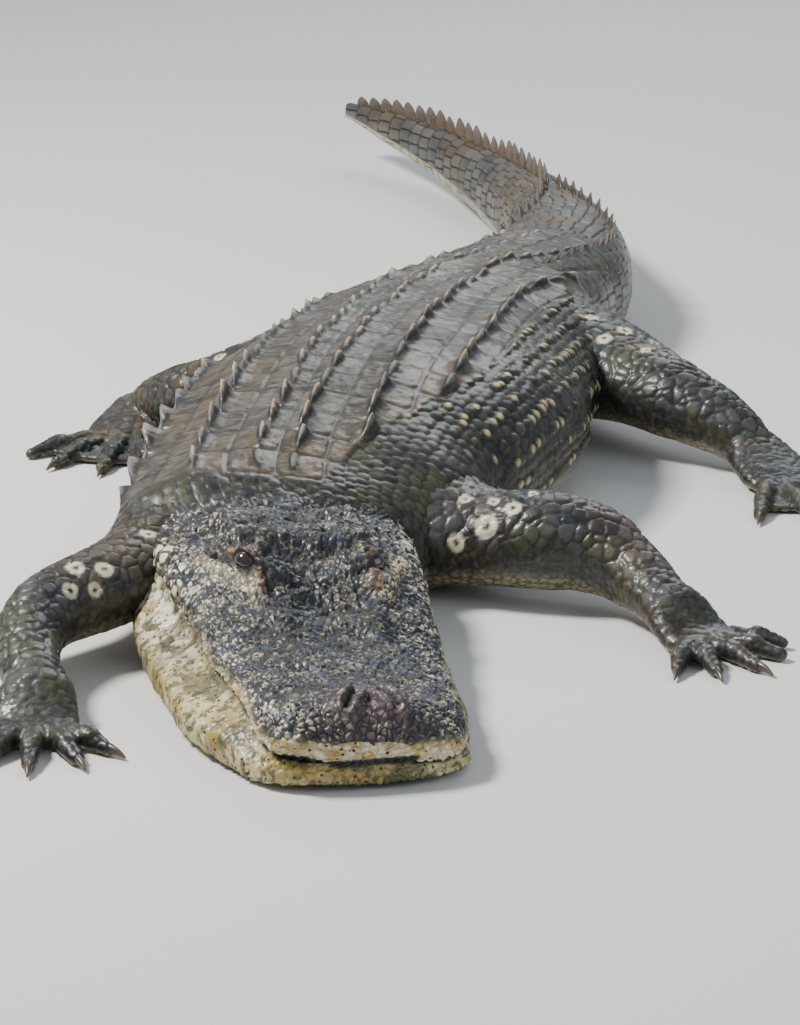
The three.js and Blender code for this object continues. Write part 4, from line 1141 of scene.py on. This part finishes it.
def build_crest():
    """All upright scales of the tail in one piece."""
    verts, faces, tip, tone, count = [], [], [], [], 0
    rng = np.random.default_rng(CREST_SEED)
    for s, u, length, thick, height in crest_scales():
        scale = rng.uniform(0.86, 1.08)
        at, lean = s + rng.uniform(-2, 2), rng.uniform(0.04, 0.2)
        v, f, k = blade(at, u, length * scale, thick, height * scale, lean)
        verts.append(v)
        faces += [tuple(j + count for j in q) for q in f]
        tip.append(k)
        tone.append(np.full(len(v), rng.random()))
        count += len(v)
    masks = dict(tip=np.concatenate(tip), tone=np.concatenate(tone))
    return mixed_mesh("tail_crest", np.concatenate(verts), faces, masks)


CLAW_LONG, CLAW_ROOT, CLAW_ARCH, CLAW_DROP = 21.0, 3, 1.4, 3.0
CLAW_RADIUS, CLAW_TIP, CLAW_NARROW, CLAW_SIDES = 4.4, 0.5, 0.84, 16


def build_claw(name, tip, toe):
    """A curved horn claw that grows out of the toe's end."""
    rows, share = [], []
    for t in np.linspace(0, 1, 12):
        at = tip + toe * (CLAW_LONG * t - CLAW_ROOT)
        at = at + np.array([0, 0, CLAW_ARCH * math.sin(t * math.pi) - CLAW_DROP * t ** 1.6])
        r = CLAW_RADIUS * (1 - t) ** 0.7 + CLAW_TIP
        rows.append((*at, r * CLAW_NARROW, r))
        share += [t] * CLAW_SIDES
    v, f = tube_rings(np.array(rows), CLAW_SIDES)
    v[:, 2] = np.maximum(v[:, 2], FLOOR)
    return mixed_mesh(name, v, f, dict(tip=share + [0.0, 1.0]))


EYE_ROWS, EYE_COLS = 40, 56
CORNEA_RISE, CORNEA_HALF = 0.05, 0.45


def build_eye(name, side):
    """Eyeball with a slightly raised clear front, its pole turned to where it looks."""
    centre, axis, along, up = eye_axes(side)
    ph = np.linspace(0.001, math.pi, EYE_ROWS)[:, None]
    th = np.linspace(0, 2 * math.pi, EYE_COLS, endpoint=False)[None, :]
    r = EYE_R * (1 + CORNEA_RISE * bell(ph, CORNEA_HALF)) + 0 * th
    x, y = np.sin(ph) * np.cos(th), np.sin(ph) * np.sin(th)
    q = centre + axis * (np.cos(ph) * r)[..., None] + along * (x * r)[..., None] + up * (y * r)[..., None]
    masks = dict(polar=(ph / math.pi + 0 * th).ravel(), across=x.ravel(), upward=y.ravel())
    return new_mesh(name, q.reshape(-1, 3), ring_faces(EYE_ROWS, EYE_COLS), masks)


# Shader nodes
class Wire:
    """Short ways to add and join shader nodes in one tree."""

    def __init__(self, tree):
        self.nodes, self.links = tree.nodes, tree.links
        self.object_place = None

    def put(self, socket, value):
        if hasattr(value, "is_output"):
            self.links.new(value, socket)
        elif isinstance(value, tuple):
            socket.default_value = (*value, 1.0)
        else:
            socket.default_value = value

    def attr(self, name):
        node = self.nodes.new("ShaderNodeAttribute")
        node.attribute_type = "GEOMETRY"
        node.attribute_name = name
        return node.outputs["Fac"]

    def math(self, op, a, b=0.0):
        node = self.nodes.new("ShaderNodeMath")
        node.operation = op
        self.put(node.inputs[0], a)
        self.put(node.inputs[1], b)
        return node.outputs[0]

    def times(self, *values):
        total = values[0]
        for value in values[1:]:
            total = self.math("MULTIPLY", total, value)
        return total

    def flip(self, value):
        return self.math("SUBTRACT", 1.0, value)

    def mix(self, fac, a, b):
        node = self.nodes.new("ShaderNodeMix")
        node.data_type = "RGBA"
        self.put(node.inputs[0], fac)
        self.put(node.inputs[6], a)
        self.put(node.inputs[7], b)
        return node.outputs[2]

    def over(self, base, layer, *masks):
        """Lays a colour over another where all masks are high."""
        return self.mix(self.times(*masks), base, layer)

    def mud(self, colour, mud, size, cover):
        return self.use(MUD, Colour=colour, Mud=mud, Size=size, Cover=cover)["Colour"]

    def ramp(self, value, low, high, to=1.0, start=0.0):
        node = self.nodes.new("ShaderNodeMapRange")
        node.interpolation_type = "SMOOTHSTEP"
        for socket, v in zip(node.inputs, (value, low, high, start, to)):
            self.put(socket, v)
        return node.outputs[0]

    def where(self):
        if self.object_place is None:
            self.object_place = self.nodes.new("ShaderNodeTexCoord").outputs["Object"]
        return self.object_place

    def vector(self, x, y, z=0.0):
        node = self.nodes.new("ShaderNodeCombineXYZ")
        for socket, v in zip(node.inputs, (x, y, z)):
            self.put(socket, v)
        return node.outputs[0]

    def noise(self, scale, detail=3.0, rough=0.55, distort=0.0, vector=None):
        node = self.nodes.new("ShaderNodeTexNoise")
        for key, v in (("Scale", scale), ("Detail", detail), ("Roughness", rough), ("Distortion", distort),
                       ("Vector", vector or self.where())):
            self.put(node.inputs[key], v)
        return node.outputs["Fac"]

    def cells(self, scale):
        node = self.nodes.new("ShaderNodeTexVoronoi")
        self.put(node.inputs["Scale"], scale)
        self.put(node.inputs["Vector"], self.where())
        return node.outputs["Distance"]

    def bump(self, height, strength, distance):
        node = self.nodes.new("ShaderNodeBump")
        node.inputs["Strength"].default_value = strength
        node.inputs["Distance"].default_value = distance
        self.put(node.inputs["Height"], height)
        return node.outputs[0]

    def use(self, tree, **values):
        """Adds a node group and sets its inputs by name."""
        node = self.nodes.new("ShaderNodeGroup")
        node.node_tree = tree
        for key, value in values.items():
            self.put(node.inputs[key], value)
        return node.outputs


def node_group(name, inputs, outputs, fill):
    """Shader node group: inputs and outputs as name and kind, fill(wire, inputs) gives the results."""
    tree = bpy.data.node_groups.new(name, "ShaderNodeTree")
    for in_out, sockets in (("INPUT", inputs), ("OUTPUT", outputs)):
        for key, kind in sockets:
            tree.interface.new_socket(name=key, in_out=in_out, socket_type="NodeSocket" + kind)
    start = tree.nodes.new("NodeGroupInput")
    end = tree.nodes.new("NodeGroupOutput")
    results = fill(Wire(tree), start.outputs)
    for (key, _), value in zip(outputs, results):
        tree.links.new(value, end.inputs[key])
    return tree


# Painted shade: near black laid into the grooves between scales.
GROOVE_SHADE_BLACK = (0.010, 0.010, 0.009)


def fill_groove_shade(w, i):
    return [w.mix(w.times(w.flip(i["Scale"]), i["Depth"]), i["Colour"], GROOVE_SHADE_BLACK)]


def fill_mud(w, i):
    patch = w.ramp(w.noise(i["Size"], 5.0, 0.62, 0.5), 0.46, 0.60)
    return [w.mix(w.times(patch, i["Cover"]), i["Colour"], i["Mud"])]


def fill_wet(w, i):
    patch = w.ramp(w.noise(i["Size"], 4.0), 0.3, 0.7)
    rough = w.ramp(patch, 0.0, 1.0, i["Wet"], i["Dry"])
    return [rough, w.noise(i["Grain"], 4.0, 0.6)]


def fill_flecks(w, i):
    spot = w.cells(i["Size"])
    ring = w.times(w.ramp(spot, 0.20, 0.30), w.flip(w.ramp(spot, 0.40, 0.52)))
    broken = w.ramp(w.noise(w.times(i["Size"], 0.9), 1.0), 0.47, 0.55)
    return [w.times(ring, broken, i["Cover"])]


GROOVE_SHADE = node_group("scale_groove_shade", [("Colour", "Color"), ("Scale", "Float"), ("Depth", "Float")],
                     [("Colour", "Color")], fill_groove_shade)
MUD = node_group("mud_film", [("Colour", "Color"), ("Mud", "Color"), ("Size", "Float"), ("Cover", "Float")],
                 [("Colour", "Color")], fill_mud)
WET = node_group("wet_grain", [("Size", "Float"), ("Grain", "Float"), ("Wet", "Float"), ("Dry", "Float")],
                 [("Roughness", "Float"), ("Height", "Float")], fill_wet)
FLECKS = node_group("fleck_rings", [("Size", "Float"), ("Cover", "Float")], [("Mask", "Float")], fill_flecks)


def material(name):
    """New material with one shader: the material, its wire and the shader."""
    mat = bpy.data.materials.new(name)
    mat.use_nodes = True
    nodes = mat.node_tree.nodes
    nodes.clear()
    out = nodes.new("ShaderNodeOutputMaterial")
    shader = nodes.new("ShaderNodeBsdfPrincipled")
    mat.node_tree.links.new(shader.outputs[0], out.inputs[0])
    return mat, Wire(mat.node_tree), shader


GRAIN_STRENGTH, SKIN_SPECULAR, SKIN_COAT, SKIN_COAT_ROUGH = 0.35, 0.38, 0.22, 0.16


def wet_skin(w, shader, colour, depth, **values):
    """Joins colour, uneven gloss and grain to a shader with a thin wet coat."""
    wet = w.use(WET, **values)
    w.put(shader.inputs["Base Color"], colour)
    w.put(shader.inputs["Roughness"], wet["Roughness"])
    w.put(shader.inputs["Normal"], w.bump(wet["Height"], GRAIN_STRENGTH, depth))
    shader.inputs["Specular IOR Level"].default_value = SKIN_SPECULAR
    shader.inputs["Coat Weight"].default_value = SKIN_COAT
    shader.inputs["Coat Roughness"].default_value = SKIN_COAT_ROUGH


# Colours. Sizes of noise and cells below are counts to the metre
BACK_DARK, BACK_PALE, BACK_MUD = (0.010, 0.010, 0.010), (0.125, 0.112, 0.088), (0.105, 0.070, 0.032)
# Painted sheen: the first colour on the next line is a grey reflection laid on plates, keels and crest
# blades.
PAINTED_SHEEN, KEEL_TIP = (0.17, 0.165, 0.165), (0.40, 0.29, 0.13)
# The third colour on the next line is a painted highlight for the tops of flank beads.
FLANK_DARK, FLANK_PALE, FLANK_HIGHLIGHT = (0.006, 0.007, 0.005), (0.034, 0.033, 0.020), (0.50, 0.43, 0.22)
TAIL_DARK, TAIL_PALE = (0.030, 0.029, 0.027), (0.100, 0.094, 0.086)
BELLY_PALE, BELLY_YELLOW = (0.40, 0.38, 0.29), (0.30, 0.27, 0.16)
HEAD_DARK, HEAD_PALE, HEAD_MAUVE = (0.005, 0.006, 0.010), (0.027, 0.034, 0.050), (0.13, 0.080, 0.080)
# Painted highlight: a blue sheen laid in patches over the head.
HEAD_PAINTED_SHEEN = (0.075, 0.09, 0.13)
CREAM, LIP_OCHRE, OLIVE = (0.78, 0.70, 0.48), (0.56, 0.42, 0.16), (0.070, 0.070, 0.025)
JAW_CREAM, JAW_YELLOW, CHEEK_WHITE = (0.60, 0.53, 0.28), (0.36, 0.27, 0.07), (0.70, 0.66, 0.48)
LID_ORANGE, LID_CREAM = (0.30, 0.12, 0.035), (0.72, 0.62, 0.38)
DOT_BLACK, SHADE_BLACK = (0.02, 0.02, 0.016), (0.004, 0.004, 0.004)
LIMB_DARK, LIMB_PALE, LIMB_RUST = (0.006, 0.009, 0.013), (0.045, 0.048, 0.048), (0.13, 0.062, 0.022)
RING_CREAM = (0.60, 0.54, 0.38)
CREST_DARK, CREST_BROWN = (0.022, 0.017, 0.012), (0.085, 0.055, 0.028)
CLAW_DARK, CLAW_BROWN, CLAW_END = (0.02, 0.017, 0.013), (0.09, 0.068, 0.045), (0.14, 0.10, 0.06)
IRIS_DARK, IRIS_BROWN, EYE_RIM = (0.014, 0.008, 0.004), (0.050, 0.026, 0.010), (0.03, 0.022, 0.016)
FLOOR_GREY, FLOOR_PALE = (0.60, 0.60, 0.59), (0.65, 0.65, 0.64)
STREAKS_ALONG, STREAKS_ACROSS = 330.0, 55.0


def back_colour(w, tone):
    """Flat keeled plates with crosswise streaks and mud, painted sheen on some plates and along the keels,
    painted shade at the keels' feet, and brown keel tips.
    """
    across = w.vector(w.times(w.attr("run"), STREAKS_ALONG), w.times(w.attr("girth"), STREAKS_ACROSS))
    streak = w.noise(1.0, 3.0, 0.6, vector=across)
    plate = w.over(BACK_DARK, BACK_PALE, w.ramp(streak, 0.30, 0.72))
    # painted sheen on some plates
    plate = w.over(plate, PAINTED_SHEEN, w.ramp(tone, 0.55, 1.0, 0.25))
    plate = w.mud(plate, BACK_MUD, 11.0, 0.5)
    plate = w.mud(plate, BACK_DARK, 45.0, 0.6)
    keel = w.attr("keel")
    # Painted shade: a near-black band along both feet of each keel.
    plate = w.over(plate, BACK_DARK, w.ramp(keel, 0.10, 0.3), w.flip(w.ramp(keel, 0.35, 0.6)), 0.95)
    # painted sheen along the tops of the keels
    plate = w.over(plate, PAINTED_SHEEN, w.ramp(keel, 0.45, 0.8, 0.75))
    return w.over(plate, KEEL_TIP, w.ramp(keel, 0.60, 0.9), w.ramp(tone, 0.5, 0.75), 0.85)


def head_colour(w, tone):
    """Blue-black with a painted blue sheen, cream rings and fine lines, brighter lips and lids."""
    pale = w.math("ADD", w.times(w.noise(26.0, 4.0, 0.62), 0.6), w.times(tone, 0.4))
    colour = w.over(HEAD_DARK, HEAD_PALE, w.ramp(pale, 0.34, 0.74))
    # painted blue sheen in patches
    colour = w.over(colour, HEAD_PAINTED_SHEEN, w.ramp(w.noise(60.0, 4.0, 0.65), 0.52, 0.64), 0.6)
    colour = w.over(colour, HEAD_MAUVE, w.attr("rim"), 0.8)
    cheek = w.attr("cheek")
    sides = w.ramp(w.math("ABSOLUTE", w.attr("girth")), 0.03, 0.09, 1.0, 0.35)
    cover = w.math("ADD", w.times(sides, 0.75), w.times(cheek, 0.2))
    colour = w.over(colour, CREAM, w.use(FLECKS, Size=118.0, Cover=cover)["Mask"])
    line = w.math("ABSOLUTE", w.math("SUBTRACT", w.noise(125.0, 1.0, 0.5, 1.6), 0.5))
    here = w.ramp(w.noise(38.0, 2.0), 0.48, 0.60)
    colour = w.over(colour, CREAM, w.ramp(line, 0.024, 0.010), here, sides, 0.8)
    colour = w.over(colour, CHEEK_WHITE, cheek, w.ramp(tone, 0.56, 0.64), w.ramp(w.attr("scale"), 0.5, 0.9))
    lip = w.over(LIP_OCHRE, CREAM, w.ramp(w.noise(120.0, 3.0), 0.4, 0.6))
    lip = w.over(lip, DOT_BLACK, w.ramp(w.cells(190.0), 0.26, 0.18))
    colour = w.over(colour, lip, w.attr("lip"), 0.92)
    streaks = w.ramp(w.noise(190.0, 2.0, distort=1.0), 0.40, 0.52)
    colour = w.over(colour, LID_ORANGE, w.attr("lid_up"), w.flip(w.times(streaks, 0.6)), 0.8)
    return w.over(colour, LID_CREAM, w.attr("lid_low"), streaks)


def jaw_colour(w, tone):
    """Cream and yellow scales with olive patches and black dots."""
    colour = w.over(JAW_CREAM, JAW_YELLOW, w.ramp(w.noise(22.0, 4.0), 0.40, 0.62))
    colour = w.over(colour, OLIVE, w.ramp(tone, 0.72, 0.8), 0.8)
    colour = w.over(colour, OLIVE, w.ramp(w.noise(20.0, 4.0), 0.50, 0.60), 0.75)
    colour = w.over(colour, OLIVE, w.ramp(w.noise(95.0, 3.0, 0.6), 0.54, 0.60), 0.8)
    colour = w.over(colour, CHEEK_WHITE, w.attr("jowl"), w.ramp(tone, 0.60, 0.50))
    return w.over(colour, DOT_BLACK, w.ramp(w.cells(165.0), 0.27, 0.18))


def hide_finish():
    mat, w, shader = material("scaled_hide")
    tone = w.attr("tone")
    flank = w.over(FLANK_DARK, FLANK_PALE, w.ramp(tone, 0.1, 0.95))
    flank = w.mud(flank, OLIVE, 12.0, 0.45)
    # painted highlight on the tops of some large beads
    flank = w.over(flank, FLANK_HIGHLIGHT, w.attr("tip"), 0.9)
    cloud = w.math("ADD", w.times(w.noise(24.0, 4.0), 0.8), w.times(tone, 0.25))
    tail = w.over(TAIL_DARK, TAIL_PALE, w.ramp(cloud, 0.30, 0.78))
    tail = w.mud(tail, BACK_MUD, 14.0, 0.5)
    colour = w.over(flank, tail, w.attr("tail"))
    colour = w.over(colour, back_colour(w, tone), w.attr("shield"))
    belly = w.over(BELLY_PALE, BELLY_YELLOW, w.ramp(w.noise(20.0, 3.0), 0.35, 0.65))
    colour = w.over(colour, belly, w.attr("belly"))
    face = w.over(head_colour(w, tone), jaw_colour(w, tone), w.attr("low"))
    colour = w.over(colour, face, w.attr("head"))
    smooth_jaw = w.times(w.attr("low"), w.attr("head"), w.flip(w.attr("jowl")))
    plain = w.math("ADD", w.attr("lip"), smooth_jaw)
    # Painted shade in the grooves between scales: less on the back's plates, the lips and the smooth jaw.
    groove_shade = w.math("SUBTRACT", 0.88, w.times(w.attr("shield"), 0.40))
    groove_shade = w.math("MAXIMUM", 0.22, w.math("SUBTRACT", groove_shade, w.times(plain, 0.6)))
    colour = w.use(GROOVE_SHADE, Colour=colour, Scale=w.attr("scale"), Depth=groove_shade)["Colour"]
    # Painted shade: near black in creases, slits, pits, crevices, the mouth gap and round the eye openings.
    colour = w.over(colour, SHADE_BLACK, w.attr("dark"))
    wet_skin(w, shader, colour, 0.0016, Size=11.0, Grain=380.0, Wet=0.34, Dry=0.66)
    return mat


def limb_finish():
    mat, w, shader = material("limb_hide")
    colour = w.over(LIMB_DARK, LIMB_PALE, w.ramp(w.attr("tone"), 0.0, 0.9))
    colour = w.mud(colour, OLIVE, 16.0, 0.5)
    colour = w.mud(colour, LIMB_RUST, 10.0, 0.25)
    colour = w.over(colour, BELLY_YELLOW, w.attr("belly"))
    # painted shade in the grooves between the leg's scales
    colour = w.use(GROOVE_SHADE, Colour=colour, Scale=w.attr("scale"), Depth=0.85)["Colour"]
    colour = w.over(colour, RING_CREAM, w.attr("ring"))
    wet_skin(w, shader, colour, 0.0012, Size=14.0, Grain=420.0, Wet=0.36, Dry=0.6)
    return mat


def crest_finish():
    mat, w, shader = material("crest_scale")
    tip = w.attr("tip")
    colour = w.over(CREST_DARK, CREST_BROWN, w.ramp(w.noise(230.0, 3.0, 0.6), 0.35, 0.65))
    # painted sheen on the upper part of each blade
    colour = w.over(colour, PAINTED_SHEEN, w.ramp(tip, 0.45, 1.0), 0.4)
    colour = w.mud(colour, BACK_MUD, 20.0, 0.5)
    colour = w.over(colour, TAIL_DARK, w.ramp(tip, 0.3, 0.12))
    wet_skin(w, shader, colour, 0.0012, Size=18.0, Grain=500.0, Wet=0.36, Dry=0.6)
    return mat


def claw_finish():
    mat, w, shader = material("claw_horn")
    colour = w.over(CLAW_DARK, CLAW_BROWN, w.noise(90.0, 3.0))
    colour = w.over(colour, CLAW_END, w.ramp(w.attr("tip"), 0.3, 1.0, 0.6))
    wet_skin(w, shader, colour, 0.0005, Size=30.0, Grain=600.0, Wet=0.25, Dry=0.4)
    return mat


EYE_ROUGH, EYE_COAT_ROUGH = 0.08, 0.03


def eye_finish():
    mat, w, shader = material("eye_wet")
    polar, across, upward = (w.attr(k) for k in ("polar", "across", "upward"))
    iris = w.over(IRIS_DARK, IRIS_BROWN, w.noise(700.0, 3.0))
    slit = w.ramp(w.math("ABSOLUTE", across), 0.11, 0.06)
    near = w.ramp(w.math("ABSOLUTE", upward), 0.5, 0.42)
    colour = w.over(iris, SHADE_BLACK, slit, near)
    w.put(shader.inputs["Base Color"], w.over(colour, EYE_RIM, w.ramp(polar, 0.24, 0.3)))
    shader.inputs["Roughness"].default_value = EYE_ROUGH
    shader.inputs["Coat Weight"].default_value = 1.0
    shader.inputs["Coat Roughness"].default_value = EYE_COAT_ROUGH
    return mat


# Assembly
def dress(obj, mat, slot, *nodes):
    """Gives a piece its finish and body, and hides the solids that it replaces."""
    obj.data.materials.append(mat)
    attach(obj, "root")
    if nodes:
        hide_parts(*nodes)


hide_material = hide_finish()
limb_material = limb_finish()
hide = build_hide()
dress(hide, hide_material, "back_hide", "head", "lower_jaw", "neck", "torso", "tail_base", "tail_middle",
      "tail_rear", "tail_tip")
claw_material = claw_finish()
for leg_name, foot_name in zip(LEGS, FEET):
    limb, claw_places = build_limb(leg_name, foot_name)
    dress(limb, limb_material, "limb_hide", leg_name, foot_name)
    for k, (tip, toe) in enumerate(claw_places):
        dress(build_claw(f"{foot_name}_claw_{k + 1}", tip, toe), claw_material, "limb_hide")
dress(build_crest(), crest_finish(), "back_hide")
eye_material = eye_finish()
for eye_name, side in (("eye_right", -1), ("eye_left", 1)):
    dress(build_eye(eye_name + "_wet", side), eye_material, "eye", eye_name)


# Floor, light and camera
FLOOR_REACH, FLOOR_ROUGH = 40.0, 0.9
SKY_COLOUR, SKY_STRENGTH = (0.86, 0.91, 1.0, 1), 0.42
# name, place, aim, size in metres, power in watts, colour
LIGHTS = [
    ("key", (-2.0, -0.6, 2.7), (0, -0.3, 0), 0.7, 215, (1.0, 0.97, 0.92)),
    ("fill", (2.4, -2.4, 1.8), (0, -0.4, 0), 2.5, 28, (0.86, 0.93, 1.0)),
    ("back", (0.8, 3.0, 2.6), (0, 0.2, 0), 2.0, 55, (0.92, 0.96, 1.0)),
]


def build_stage():
    corners = [(x * FLOOR_REACH, y * FLOOR_REACH, 0) for x, y in ((-1, -1), (1, -1), (1, 1), (-1, 1))]
    mesh = bpy.data.meshes.new("floor")
    mesh.from_pydata(corners, [], [(0, 1, 2, 3)])
    floor = bpy.data.objects.new("floor", mesh)
    bpy.context.scene.collection.objects.link(floor)
    mat, w, shader = material("pale_floor")
    w.put(shader.inputs["Base Color"], w.over(FLOOR_GREY, FLOOR_PALE, w.noise(0.6, 2.0)))
    shader.inputs["Roughness"].default_value = FLOOR_ROUGH
    mesh.materials.append(mat)
    world = bpy.data.worlds.new("soft_sky")
    bpy.context.scene.world = world
    world.use_nodes = True
    sky = world.node_tree.nodes["Background"]
    sky.inputs[0].default_value = SKY_COLOUR
    sky.inputs[1].default_value = SKY_STRENGTH


def area_light(name, at, aim, size, power, colour):
    light = bpy.data.lights.new(name, "AREA")
    light.size = size
    light.energy = power
    light.color = colour
    obj = bpy.data.objects.new(name, light)
    bpy.context.scene.collection.objects.link(obj)
    obj.location = at
    obj.rotation_euler = (Vector(aim) - Vector(at)).to_track_quat("-Z", "Y").to_euler()


# metres, metres and degrees; then the photograph's lens in picture points
CAMERA_BACK, CAMERA_HIGH, CAMERA_DOWN = 2.37, 0.905, 16.36
FOCUS_PX, PICTURE_HIGH_PX, SENSOR_MM = 3500.0, 1025.0, 36.0


def build_camera():
    data = bpy.data.cameras.new("camera")
    data.sensor_width = SENSOR_MM
    data.lens = FOCUS_PX / PICTURE_HIGH_PX * SENSOR_MM
    cam = bpy.data.objects.new("camera", data)
    bpy.context.scene.collection.objects.link(cam)
    cam.location = (SHIFT[0] / MM_PER_M, -CAMERA_BACK + SHIFT[1] / MM_PER_M, CAMERA_HIGH)
    cam.rotation_euler = (math.radians(90 - CAMERA_DOWN), 0, 0)
    bpy.context.scene.camera = cam


build_stage()
for light_row in LIGHTS:
    area_light(*light_row)
build_camera()
